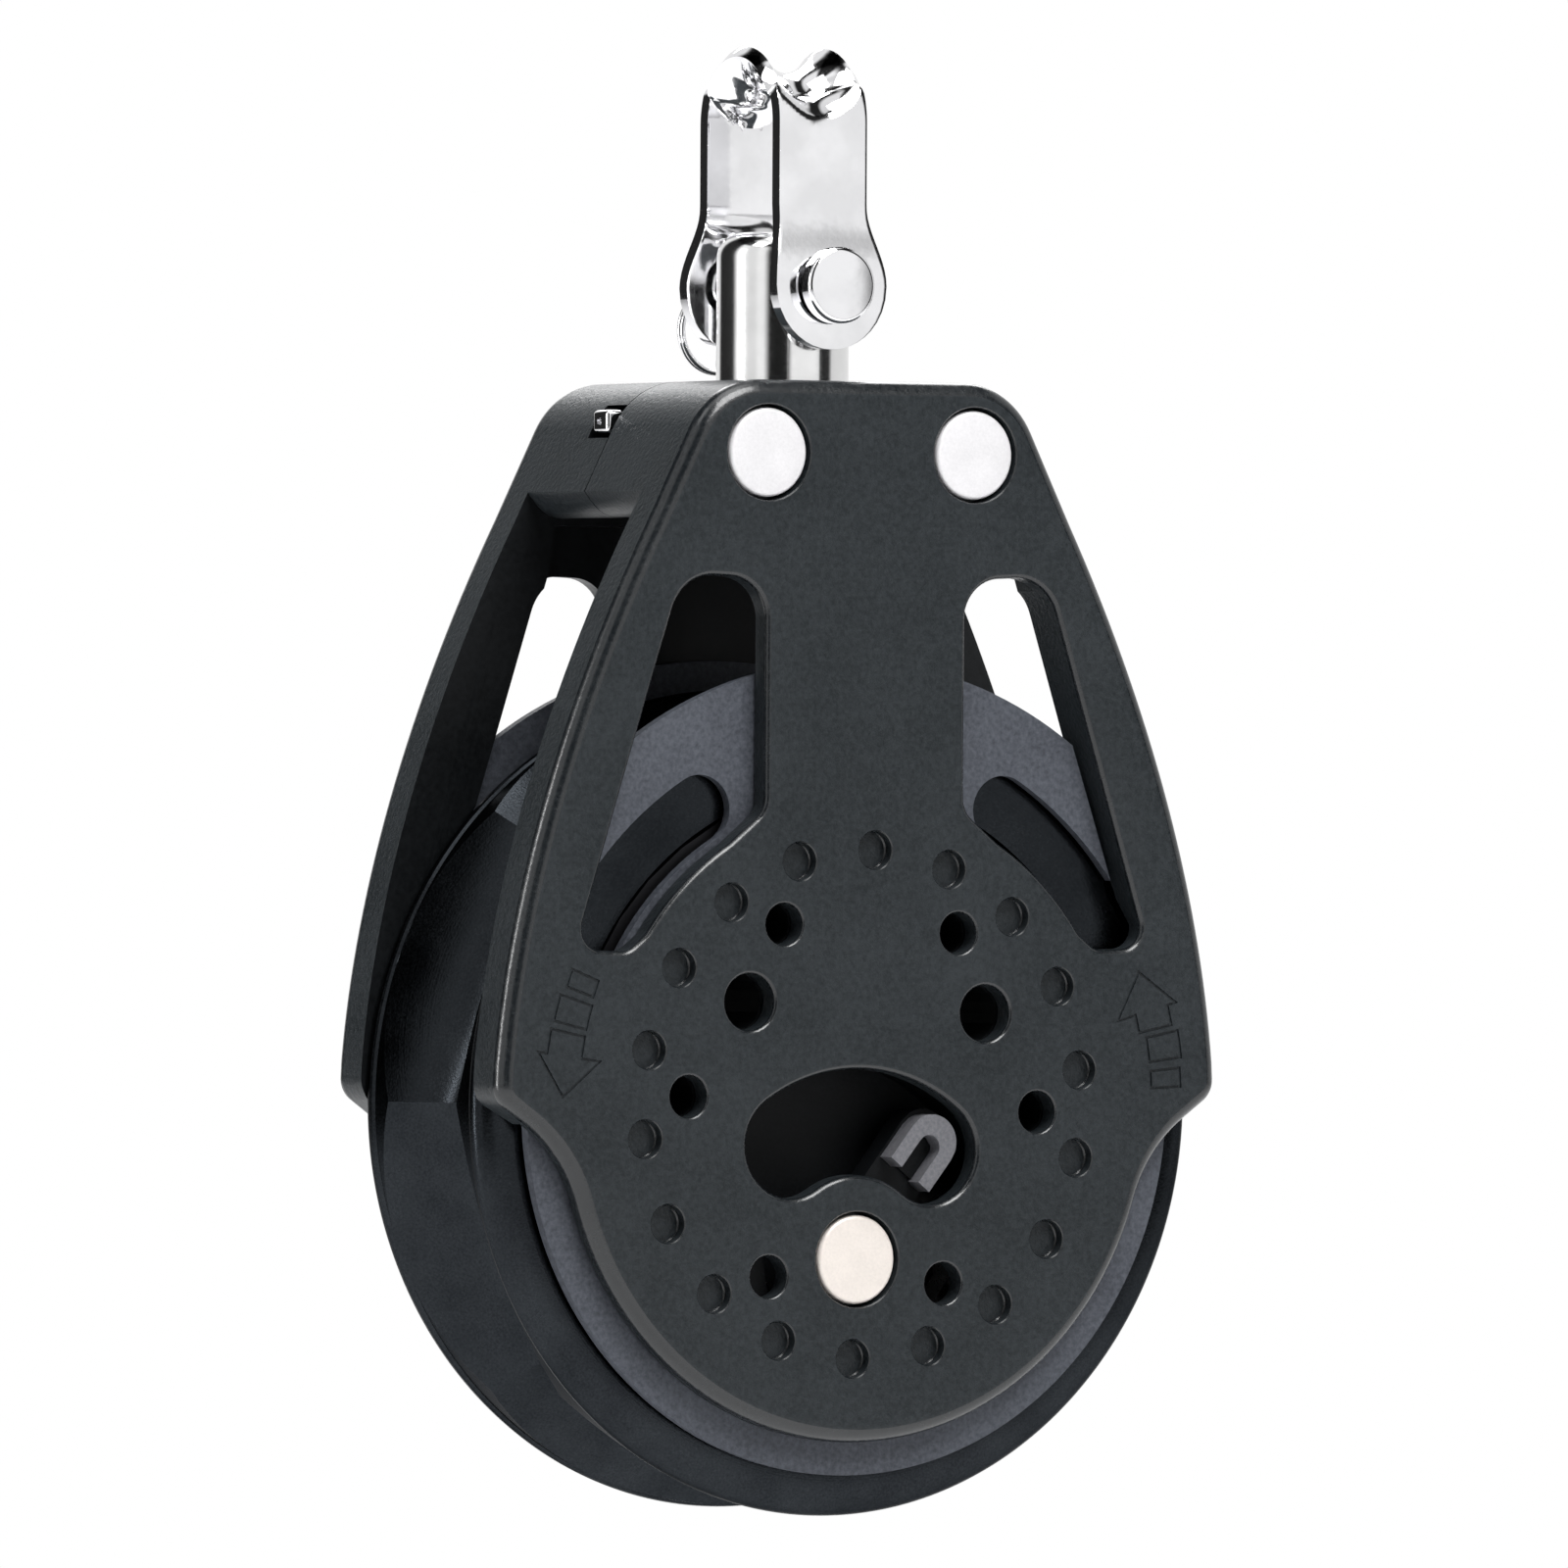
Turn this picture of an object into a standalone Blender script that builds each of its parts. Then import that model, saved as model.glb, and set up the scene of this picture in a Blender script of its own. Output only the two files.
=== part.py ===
"""Swivelling single-sheave ratchet block, 57 mm sheave, with an on/off ratchet switch.

The block hangs from its shackle.  World origin: the point of the shackle's bow that
bears on whatever holds it.  +Z up, the sheave turns about Y, the switch is on the -Y side.
Every outline below is measured from the sheave's centre, in millimetres.
"""
import math

import bmesh
import bpy
from mathutils import Matrix, Vector

MM = 0.001

# Overall layout
SHEAVE_R = 28.5             # radius over the sheave's rims, half of the 57 mm size
BEARING_POINT = 70.3        # shackle bow's bearing point above the sheave's centre
PIN_Z = 56.4                # clevis pin's axis above the sheave's centre
CLEAR = 0.3                 # gap kept between neighbouring pieces

# Cheeks
CHEEK_OUT = 11.7            # outer face, from the middle plane
CHEEK_IN = 10.1             # inner face of the cheek's plate
SKIRT_IN = 7.9              # inner edge of the skirt that stiffens the plate
WINDOW_TOP, WINDOW_LOW = (14.6, 36.4), (22.85, 10.7)   # ends of the window's outer side
PARTING = 0.15              # half of the gap between the two head halves
HEAD_TOP = 49.75
THROAT_Z = 41.2             # underside of the head, above the rope
CHEEK_DISC_R = 23.3         # the plate's round lower end
EDGE_ROUND = 1.0
HOLE_ROUND = 0.35

# Hub pattern, turned slightly clockwise against the cheek's own axis
HUB_TURN = math.radians(-2.6)
DIMPLE_R, DIMPLE_RING, DIMPLES, DIMPLE_DEPTH = 1.35, 17.5, 18, 0.6
SMALL_R, SMALL_RING, SMALL_HOLES = 1.45, 13.96, 6
LARGE_R, LARGE_X, LARGE_Z = 1.95, 9.43, 6.65
HOLE_DEPTH = 5.0

# Rivets
TOP_RIVET_XS, TOP_RIVET_Z, TOP_SHANK_R = (-7.85, 8.65), 44.75, 1.1
LOW_RIVET_Z, LOW_SHANK_R = -10.68, 1.6
RIVET_HEAD_R, RIVET_HEAD_T = 3.06, 0.85
RIVET_TOP = CHEEK_OUT - 0.08

# Ratchet switch
SLOT_RING, SLOT_HALF, SLOT_ANGLE = 9.45, 3.65, math.radians(36)
LEVER_OUT, LEVER_IN = 9.5, 7.6
TAB_OUT = 11.0
PAWL_PIVOT = (10.9, -7.6)
PAWL_OUT, PAWL_IN = 8.4, 6.2
POCKET_FLOOR = 5.8
TEETH, TOOTH_TIP, TOOTH_ROOT = 30, 19.5, 20.6

# Bearing
BALLS, BALL_R, BALL_RING = 14, 1.7, 19.6
RACE_R = BALL_R + 0.15
HUB_R, HUB_HALF, BOSS_R, BOSS_HALF = 18.6, 8.7, 15.8, 9.8

# Sheave
BORE_R = 20.6
GROOVE_FLAT = 23.2          # from the axis to the middle of each flat in the groove
SIDES = 8
RIM_Y = 7.0                 # the rims' greatest radius, from the middle plane
GROOVE_EDGE_Y = 6.6
FLANGE_Y = 8.7
FLANGE_R = 25.4             # where the flange's rounded edge meets its flat side
RING_SEAT_R, RING_SEAT_Y = 22.0, 5.4

# Liner plates
LINER_OUT, LINER_IN = 9.8, 9.0
LINER_LOW_R, LINER_TOP_R, LINER_BORE_R = 25.6, 30.5, 16.1
LINER_SLOT, LINER_SLOT_TOP = (21.2, 26.0), 59

# Head fitting
POST_R, POST_TOP, POST_FLANGE_R = 4.6, 60.2, 5.8
CAVITY_R, CAVITY_LOW, CAVITY_HIGH = 6.1, 43.2, 47.6
PIN_R, PIN_HEAD_R, PIN_HEAD_T, PIN_END = 1.7, 2.65, 1.25, 10.4
RING_HOLE_Y, RING_HOLE_R = 8.9, 1.0

# Shackle
STRAP_T, LEG_HALF, EAR_R = 1.0, 3.5, 4.4
EAR_Y, LEG_Y = 6.2, 4.95    # the strap's middle surface at the ears, and in the legs and bow
BOW_Z = 67.75               # centre of the bow's half circle
BOW_SAG = 1.9               # how far the channel's middle lies inside its edges

# Materials: colour, roughness, metallic
FINISHES = {
    "black_plastic": ((0.022, 0.024, 0.027), 0.55, 0.0),
    "liner_plastic": ((0.14, 0.14, 0.17), 0.6, 0.0),
    "anodised": ((0.03, 0.031, 0.034), 0.38, 0.6),
    "acetal": ((0.75, 0.74, 0.7), 0.4, 0.0),
    "switch_plastic": ((0.11, 0.115, 0.12), 0.5, 0.0),
    "polished_steel": ((0.78, 0.78, 0.79), 0.1, 1.0),
    "satin_steel": ((0.72, 0.71, 0.7), 0.32, 1.0),
    "spring_steel": ((0.5, 0.5, 0.51), 0.3, 1.0),
}


# ---------------------------------------------------------------- helpers

def clear_scene():
    for obj in list(bpy.data.objects):
        bpy.data.objects.remove(obj, do_unlink=True)


def new_collection(name):
    group = bpy.data.collections.new(name)
    bpy.context.scene.collection.children.link(group)
    return group


def make_materials():
    made = {}
    for name, (colour, rough, metal) in FINISHES.items():
        mat = bpy.data.materials.new(name)
        mat.use_nodes = True
        shader = mat.node_tree.nodes["Principled BSDF"]
        shader.inputs["Base Color"].default_value = (*colour, 1.0)
        shader.inputs["Roughness"].default_value = rough
        shader.inputs["Metallic"].default_value = metal
        made[name] = mat
    return made


clear_scene()
PARTS = new_collection("ratchet_block")
CUTTERS = new_collection("cutters")
MATERIALS = make_materials()
CENTRE = bpy.data.objects.new("sheave_centre", None)
CENTRE.location = (0, 0, -BEARING_POINT * MM)
PARTS.objects.link(CENTRE)


def add_part(name, mesh, finish, at=(0, 0, 0)):
    """A named piece whose mesh is measured from the point 'at', itself from the sheave's centre."""
    obj = bpy.data.objects.new(name, mesh)
    PARTS.objects.link(obj)
    obj.parent = CENTRE
    obj.location = Vector(at) * MM
    mesh.materials.clear()
    mesh.materials.append(MATERIALS[finish])
    mesh.shade_smooth()
    mesh.set_sharp_from_angle(angle=math.radians(32))
    return obj


def cut(obj, mesh, operation="DIFFERENCE"):
    """Boolean with a cutter measured, like the piece itself, from the piece's origin."""
    cutter = bpy.data.objects.new(obj.name + "_cutter", mesh)
    CUTTERS.objects.link(cutter)
    cutter.parent = CENTRE
    cutter.location = obj.location
    cutter.hide_render = True
    cutter.display_type = "WIRE"
    modifier = obj.modifiers.new("cut", "BOOLEAN")
    modifier.operation = operation
    modifier.object = cutter


def to_mesh(obj):
    """Evaluated copy of a modelling object, which is then removed."""
    PARTS.objects.link(obj)
    bpy.context.view_layer.update()
    evaluated = obj.evaluated_get(bpy.context.evaluated_depsgraph_get())
    mesh = bpy.data.meshes.new_from_object(evaluated)
    mesh.transform(obj.matrix_world)
    bpy.data.objects.remove(obj, do_unlink=True)
    edit = bmesh.new()
    edit.from_mesh(mesh)
    bmesh.ops.remove_doubles(edit, verts=edit.verts, dist=1e-6)
    flat = [e for e in edit.edges if e.calc_face_angle(1) < 1e-4]
    bmesh.ops.beautify_fill(edit, faces=edit.faces, edges=flat, method="ANGLE")
    edit.to_mesh(mesh)
    edit.free()
    return mesh


def flat_solid(loops, y_low, y_high):
    """Plate in the X-Z plane between two Y levels; loops after the first are holes."""
    curve = bpy.data.curves.new("outline", "CURVE")
    curve.dimensions = "2D"
    curve.fill_mode = "BOTH"
    curve.extrude = (y_high - y_low) / 2 * MM
    for loop in loops:
        spline = curve.splines.new("POLY")
        spline.points.add(len(loop) - 1)
        for point, (x, z) in zip(spline.points, loop):
            point.co = (x * MM, z * MM, 0, 1)
        spline.use_cyclic_u = True
    obj = bpy.data.objects.new("outline", curve)
    obj.rotation_euler = (math.pi / 2, 0, 0)
    obj.location = (0, (y_low + y_high) / 2 * MM, 0)
    return to_mesh(obj)


def turned(profile, segments, axis="Z"):
    """Closed profile of (radius, height), listed down its outer side, turned about an axis."""
    edit = bmesh.new()
    verts = [edit.verts.new((r * MM, 0, h * MM)) for r, h in profile]
    for start, end in zip(verts, verts[1:] + verts[:1]):
        if start.co.x > 0 or end.co.x > 0:
            edit.edges.new((start, end))
    mesh = bpy.data.meshes.new("profile")
    edit.to_mesh(mesh)
    edit.free()
    obj = bpy.data.objects.new("profile", mesh)
    screw = obj.modifiers.new("turn", "SCREW")
    screw.axis = "Z"
    screw.steps = segments
    screw.render_steps = segments
    screw.use_merge_vertices = True
    screw.merge_threshold = 0.00001
    if axis == "Y":
        obj.rotation_euler = (-math.pi / 2, 0, 0)
    return to_mesh(obj)


def rod(radius, low, high, segments=24, axis="Y", at=(0, 0, 0)):
    """Plain round bar between two levels on an axis through 'at'."""
    edit = bmesh.new()
    bmesh.ops.create_cone(edit, cap_ends=True, segments=segments, radius1=radius * MM,
                          radius2=radius * MM, depth=(high - low) * MM)
    turn = {"X": Matrix.Rotation(math.pi / 2, 4, "Y"), "Y": Matrix.Rotation(-math.pi / 2, 4, "X"),
            "Z": Matrix.Identity(4)}[axis]
    middle = Vector([(low + high) / 2 if name == axis else 0 for name in "XYZ"]) + Vector(at)
    edit.transform(Matrix.Translation(middle * MM) @ turn)
    mesh = bpy.data.meshes.new("rod")
    edit.to_mesh(mesh)
    edit.free()
    return mesh


def box(low, high):
    edit = bmesh.new()
    bmesh.ops.create_cube(edit, size=1.0)
    for vert in edit.verts:
        vert.co = Vector([(lo + (c + 0.5) * (hi - lo)) * MM for c, lo, hi in zip(vert.co, low, high)])
    mesh = bpy.data.meshes.new("box")
    edit.to_mesh(mesh)
    edit.free()
    return mesh


def joined(meshes):
    """Several closed, separate meshes as one cutter."""
    edit = bmesh.new()
    for mesh in meshes:
        edit.from_mesh(mesh)
    mesh = bpy.data.meshes.new("joined")
    edit.to_mesh(mesh)
    edit.free()
    return mesh


def round_edges(mesh, wanted, width, segments):
    """Rounds the edges whose two ends both pass the test."""
    edit = bmesh.new()
    edit.from_mesh(mesh)
    chosen = [e for e in edit.edges if all(wanted(v.co / MM) for v in e.verts)
              and e.calc_face_angle(0) > math.radians(60)]
    bmesh.ops.bevel(edit, geom=chosen, offset=width * MM, segments=segments, profile=0.5,
                    affect="EDGES", clamp_overlap=True)
    edit.to_mesh(mesh)
    edit.free()


def arc(radius, start, end, steps, centre=(0, 0)):
    """Points on a circle between two angles in degrees, counted from +X towards +Z."""
    angles = [math.radians(start + (end - start) * i / steps) for i in range(steps + 1)]
    return [(centre[0] + radius * math.cos(a), centre[1] + radius * math.sin(a)) for a in angles]


def circle(radius, centre, count=16):
    return arc(radius, 0, 360, count, centre)[:-1]


def bezier(a, b, c, d, steps):
    points = []
    for i in range(steps + 1):
        t = i / steps
        weights = ((1 - t) ** 3, 3 * t * (1 - t) ** 2, 3 * t * t * (1 - t), t ** 3)
        points.append(tuple(sum(w * p[k] for w, p in zip(weights, (a, b, c, d))) for k in (0, 1)))
    return points


def fillet(before, corner, after, radius, steps=4):
    """Rounds one corner of an outline."""
    corner = Vector(corner)
    to_before = (Vector(before) - corner).normalized()
    to_after = (Vector(after) - corner).normalized()
    half = to_before.angle(to_after) / 2
    reach = radius / math.tan(half)
    middle = corner + (to_before + to_after).normalized() * (radius / math.sin(half))
    start = (corner + to_before * reach) - middle
    end = (corner + to_after * reach) - middle
    sweep = start.angle_signed(end)
    points = []
    for i in range(steps + 1):
        turn = Matrix.Rotation(-sweep * i / steps, 2)
        points.append(tuple(middle + turn @ start))
    return points


def mirrored(points):
    """The same outline on the other side of the Z axis, still running the same way."""
    return [(-x, z) for x, z in reversed(points)]


def on_hub(x, z):
    """A place in the hub pattern, with the pattern's small turn."""
    c, s = math.cos(HUB_TURN), math.sin(HUB_TURN)
    return (x * c - z * s, x * s + z * c)


def turn_with_hub(points):
    return [on_hub(x, z) for x, z in points]


# ---------------------------------------------------------------- outlines

def side_curve(steps=10):
    return bezier((28.65, 2.7), (27.7, 13.8), (23.8, 26.8), (16.7, 40.2), steps)


def cheek_half():
    """Right half of the cheek's outline, from the bottom up."""
    hollow = (23.4, -3.27)
    flank = (24.2, -2.7)
    shoulder = (28.75, 0.55)
    side = side_curve()
    half = arc(CHEEK_DISC_R, -90, -17.5, 12)
    half += fillet(half[-1], hollow, flank, 10.5, 4)
    half += fillet(flank, shoulder, side[0], 1.9, 3)
    half += side
    half += fillet(side[-1], (11.9, HEAD_TOP), (0, HEAD_TOP), 6.0, 5)
    return half


def cheek_outline():
    half = cheek_half()
    return half + mirrored(half)[:-1]


def window_outline():
    """Right-hand window: straight inner side, sloping outer side, lower side round the hub."""
    inner_low, inner_top = (7.95, 20.2), (7.95, 36.1)
    outer_top, outer_low = WINDOW_TOP, WINDOW_LOW
    low = arc(20.9, 34, 59, 4)
    points = fillet(low[0], (18.75, 10.55), outer_low, 1.6, 3)
    points += fillet((18.75, 10.55), outer_low, outer_top, 1.5, 3)
    points += fillet(outer_low, outer_top, inner_top, 3.4, 4)
    points += fillet(outer_top, inner_top, inner_low, 2.9, 4)
    points += fillet(inner_top, inner_low, low[-1], 2.0, 3)
    return points + list(reversed(low))


def kidney_outline(ring, half, angle):
    """Slot round the switch lever's pivot, with round ends."""
    spread = math.degrees(angle)
    pivot = (0, LOW_RIVET_Z)
    right_end = (ring * math.sin(angle), LOW_RIVET_Z + ring * math.cos(angle))
    left_end = (-right_end[0], right_end[1])
    points = arc(ring + half, 90 - spread, 90 + spread, 10, pivot)
    points += arc(half, 90 + spread, 270 + spread, 8, left_end)[1:]
    points += arc(ring - half, 90 + spread, 90 - spread, 6, pivot)[1:]
    points += arc(half, -90 - spread, 90 - spread, 8, right_end)[1:-1]
    return points


def ring_of_places(radius, count, first):
    step = 360 / count
    return [on_hub(*arc(radius, first + i * step, 0, 1)[0]) for i in range(count)]


# ---------------------------------------------------------------- cheeks

def sheave_clearance(side):
    """Room that the turning sheave needs under the cheek's skirt."""
    half = [(0, -1), (SHEAVE_R + 0.5, -1), (SHEAVE_R + 0.5, RIM_Y + 0.6), (27.3, 8.5), (26.1, 9.2), (0, 9.2)]
    profile = [(r, y) for r, y in reversed(half)] if side > 0 else [(r, -y) for r, y in half]
    return turned(profile, 56, "Y")


def cheek_holes(with_slot):
    """Everything that goes right through a cheek."""
    holes = [window_outline(), mirrored(window_outline())]
    holes += [circle(SMALL_R, place, 10) for place in ring_of_places(SMALL_RING, SMALL_HOLES, 0)]
    holes += [circle(LARGE_R, on_hub(x, LARGE_Z), 12) for x in (-LARGE_X, LARGE_X)]
    holes.append(circle(LOW_SHANK_R + CLEAR, on_hub(0, LOW_RIVET_Z), 10))
    holes += [circle(TOP_SHANK_R + CLEAR, (x, TOP_RIVET_Z), 11) for x in TOP_RIVET_XS]
    if with_slot:
        holes.append(turn_with_hub(kidney_outline(SLOT_RING, SLOT_HALF, SLOT_ANGLE)))
    return holes


def throat_cutter(side):
    """Clears the space between the cheeks up to the head's slightly arched underside."""
    arch = [(40, THROAT_Z - 0.9), (15.5, THROAT_Z - 0.9)]
    arch += bezier((11, THROAT_Z - 0.2), (5, THROAT_Z + 0.7), (-5, THROAT_Z + 0.7), (-11, THROAT_Z - 0.2), 8)
    arch += [(-15.5, THROAT_Z - 0.9), (-40, THROAT_Z - 0.9), (-40, -40), (40, -40)]
    low, high = sorted((-side * 1.0, side * SKIRT_IN))
    return flat_solid([arch], low, high)


def pocket_cutter(side):
    """Hollows the plate behind its face for the liner, up to the windows' outer sides."""
    (top_x, top_z), (low_x, low_z) = WINDOW_TOP, WINDOW_LOW
    along = low_x - (16 - low_z) * (low_x - top_x) / (top_z - low_z)
    half = [(26.3, -40), (26.3, 1), (25.6, 5), (24.2, 10), (along - 0.5, 16), (top_x - 0.5, top_z)]
    half.append((13.6, THROAT_Z - 1.4))
    outline = half + mirrored(half)
    low, high = sorted((side * (SKIRT_IN - 1.0), side * CHEEK_IN))
    return flat_solid([outline], low, high)


def face_cutters(side):
    """Blind dimples, and the recesses that take the rivet heads."""
    cutters = []
    floor = CHEEK_OUT - DIMPLE_DEPTH
    for x, z in ring_of_places(DIMPLE_RING, DIMPLES, 10):
        low, high = sorted((side * floor, side * (CHEEK_OUT + 1)))
        cutters.append(rod(DIMPLE_R, low, high, 8, "Y", (x, 0, z)))
    recess = CHEEK_OUT - RIVET_HEAD_T - CLEAR - 0.1
    for x, z in [on_hub(0, LOW_RIVET_Z)] + [(x, TOP_RIVET_Z) for x in TOP_RIVET_XS]:
        low, high = sorted((side * recess, side * (CHEEK_OUT + 1)))
        cutters.append(rod(RIVET_HEAD_R + 0.25, low, high, 20, "Y", (x, 0, z)))
    return joined(cutters)


def head_bore():
    """Hole for the headpost, opening into the room for its flange and washers."""
    narrow, wide = POST_R + CLEAR, CAVITY_R
    profile = [(0, HEAD_TOP + 2), (narrow, HEAD_TOP + 2), (narrow, CAVITY_HIGH), (wide, CAVITY_HIGH),
               (wide, CAVITY_LOW), (0, CAVITY_LOW)]
    return turned(profile, 24)


def make_cheek(name, side):
    loops = [cheek_outline()] + cheek_holes(with_slot=side < 0)
    low, high = sorted((side * PARTING, side * CHEEK_OUT))
    mesh = flat_solid(loops, low, high)
    outline = {(round(x, 3), round(z, 3)) for x, z in loops[0]}

    def on_face(co):
        return abs(co.y - side * CHEEK_OUT) < 0.01

    def on_outline(co):
        return on_face(co) and (round(co.x, 3), round(co.z, 3)) in outline

    round_edges(mesh, on_outline, EDGE_ROUND, 2)
    round_edges(mesh, on_face, HOLE_ROUND, 1)
    cheek = add_part(name, mesh, "black_plastic")
    cut(cheek, throat_cutter(side))
    cut(cheek, pocket_cutter(side))
    cut(cheek, sheave_clearance(side))
    cut(cheek, face_cutters(side))
    cut(cheek, head_bore())
    if side > 0:
        cut(cheek, box((-20, -0.5, 45.8), (-9.8, 2.85, 48.1)))
    return cheek


def make_liner(name, side):
    """Thin guard plate between cheek and sheave.  The curved slot behind each window is open below."""
    inner, outer = LINER_SLOT
    top = LINER_SLOT_TOP
    end = arc((inner + outer) / 2, top, 0, 1)[0]
    half = arc(LINER_LOW_R, -90, 21, 20) + arc(inner, 25, top, 6)
    half += arc((outer - inner) / 2, top + 180, top, 7, end)[1:-1]
    half += arc(outer, top, 36.2, 5) + arc(LINER_TOP_R, 54.3, 90, 7)
    loops = [half + mirrored(half)[1:-1], circle(LINER_BORE_R, (0, 0), 32)]
    low, high = sorted((side * LINER_IN, side * LINER_OUT))
    return add_part(name, flat_solid(loops, low, high), "liner_plastic")


# ---------------------------------------------------------------- hub, bearing and sheave

def make_hub():
    """Fixed core that the balls run on, with the pocket for the ratchet switch."""
    groove = arc(RACE_R, 180 - 57.3, 180 + 57.3, 4, (BALL_RING, 0))
    profile = [(0, BOSS_HALF), (BOSS_R, BOSS_HALF), (BOSS_R, HUB_HALF), (HUB_R, HUB_HALF)]
    profile += [(r, h) for r, h in groove if r < HUB_R]
    profile += [(HUB_R, -HUB_HALF), (BOSS_R, -HUB_HALF), (BOSS_R, -BOSS_HALF), (0, -BOSS_HALF)]
    hub = add_part("hub_core", turned(profile, 44, "Y"), "black_plastic")
    cutters = []
    for x, z in ring_of_places(SMALL_RING, SMALL_HOLES, 0):
        cutters.append(rod(SMALL_R, BOSS_HALF - HOLE_DEPTH, BOSS_HALF + 1, 12, "Y", (x, 0, z)))
    for x in (-LARGE_X, LARGE_X):
        px, pz = on_hub(x, LARGE_Z)
        cutters.append(rod(LARGE_R, -BOSS_HALF - 1, BOSS_HALF + 1, 16, "Y", (px, 0, pz)))
    px, pz = on_hub(0, LOW_RIVET_Z)
    cutters.append(rod(LOW_SHANK_R + CLEAR, -BOSS_HALF - 1, BOSS_HALF + 1, 16, "Y", (px, 0, pz)))
    cut(hub, joined(cutters))
    blind = [rod(SMALL_R, -BOSS_HALF - 1, -BOSS_HALF + HOLE_DEPTH, 12, "Y", (x, 0, z))
             for x, z in ring_of_places(SMALL_RING, SMALL_HOLES, 0)[:4]]
    cut(hub, joined(blind))
    cut(hub, flat_solid([turn_with_hub(switch_pocket())], -BOSS_HALF - 1, -POCKET_FLOOR))
    cut(hub, flat_solid([turn_with_hub(pawl_pocket())], -BOSS_HALF - 1, -POCKET_FLOOR - 0.2))
    return hub


def switch_pocket():
    """Room for the lever's whole swing, round its pivot."""
    pivot = (0, LOW_RIVET_Z)
    points = arc(SLOT_RING + SLOT_HALF + 0.6, 30, 150, 14, pivot)
    return points + arc(6.4, 168, 372, 14, pivot)


def pawl_pocket():
    """Room for the pawl, open to the ratchet teeth at the hub's edge."""
    x, z = PAWL_PIVOT
    points = arc(2.9, -10, 150, 7, (x, z))
    points += [(5.2, -9.0), (3.6, -15.5), (5.0, -19.8), (12.5, -16.0), (14.2, -12.0)]
    return points


def make_balls():
    mesh = None
    for i in range(BALLS):
        angle = math.tau * i / BALLS
        if mesh is None:
            edit = bmesh.new()
            bmesh.ops.create_uvsphere(edit, u_segments=9, v_segments=6, radius=BALL_R * MM)
            mesh = bpy.data.meshes.new("ball")
            edit.to_mesh(mesh)
            edit.free()
        place = (BALL_RING * math.cos(angle), 0, BALL_RING * math.sin(angle))
        add_part("bearing_ball_%02d" % (i + 1), mesh, "acetal", place)


def groove_radius(angle):
    """Distance from the axis to the bottom of the eight-sided groove."""
    step = math.tau / SIDES
    return GROOVE_FLAT / math.cos((angle % step) - step / 2)


def sheave_profile(groove_steps=4):
    """Half section, down the outer side: rear flange, groove, front flange, then the bore."""
    def flange(sign):
        return [(BORE_R + 0.5, sign * FLANGE_Y), (FLANGE_R, sign * FLANGE_Y), (26.5, sign * 8.55),
                (27.5, sign * 8.1), (28.2, sign * 7.5), (SHEAVE_R, sign * RIM_Y)]

    groove = []
    for i in range(groove_steps * 2 + 1):
        y = GROOVE_EDGE_Y * (1 - i / groove_steps)
        lift = (abs(y) / GROOVE_EDGE_Y) ** 1.7
        groove.append((GROOVE_FLAT + (SHEAVE_R - 0.25 - GROOVE_FLAT) * lift, y))
    race = [(r, h) for r, h in arc(RACE_R, -57.3, 57.3, 4, (BALL_RING, 0)) if r > BORE_R]
    front = [(r, h) for r, h in reversed(flange(-1)) if r > RING_SEAT_R]
    seat = [(RING_SEAT_R, -FLANGE_Y), (RING_SEAT_R, -RING_SEAT_Y), (BORE_R, -RING_SEAT_Y)]
    return flange(1) + groove + front + seat + race + [(BORE_R, FLANGE_Y - 0.5)]


def make_sheave():
    mesh = turned(sheave_profile(), 56, "Y")
    full = SHEAVE_R - 0.25
    for vert in mesh.vertices:
        x, y, z = vert.co / MM
        r = math.hypot(x, z)
        in_groove = abs(y) < GROOVE_EDGE_Y - 0.01 and r > RING_SEAT_R + 0.6
        if in_groove:
            lift = (r - GROOVE_FLAT) / (full - GROOVE_FLAT)
            bottom = groove_radius(math.atan2(z, x))
            scale = (bottom + (full - bottom) * lift) / r
            vert.co = Vector((x * scale, y, z * scale)) * MM
    return add_part("sheave", mesh, "anodised")


def make_ratchet_ring():
    """Ring of inward saw teeth fixed in the sheave's front side."""
    teeth = []
    for i in range(TEETH):
        start = 360 / TEETH * i
        teeth.append(arc(TOOTH_TIP, start, 0, 1)[0])
        teeth.append(arc(TOOTH_ROOT, start + 1.2, 0, 1)[0])
    outer = circle(RING_SEAT_R - CLEAR, (0, 0), 40)
    mesh = flat_solid([outer, teeth], -8.4, -RING_SEAT_Y - CLEAR)
    return add_part("ratchet_ring", mesh, "satin_steel")


# ---------------------------------------------------------------- ratchet switch

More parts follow.
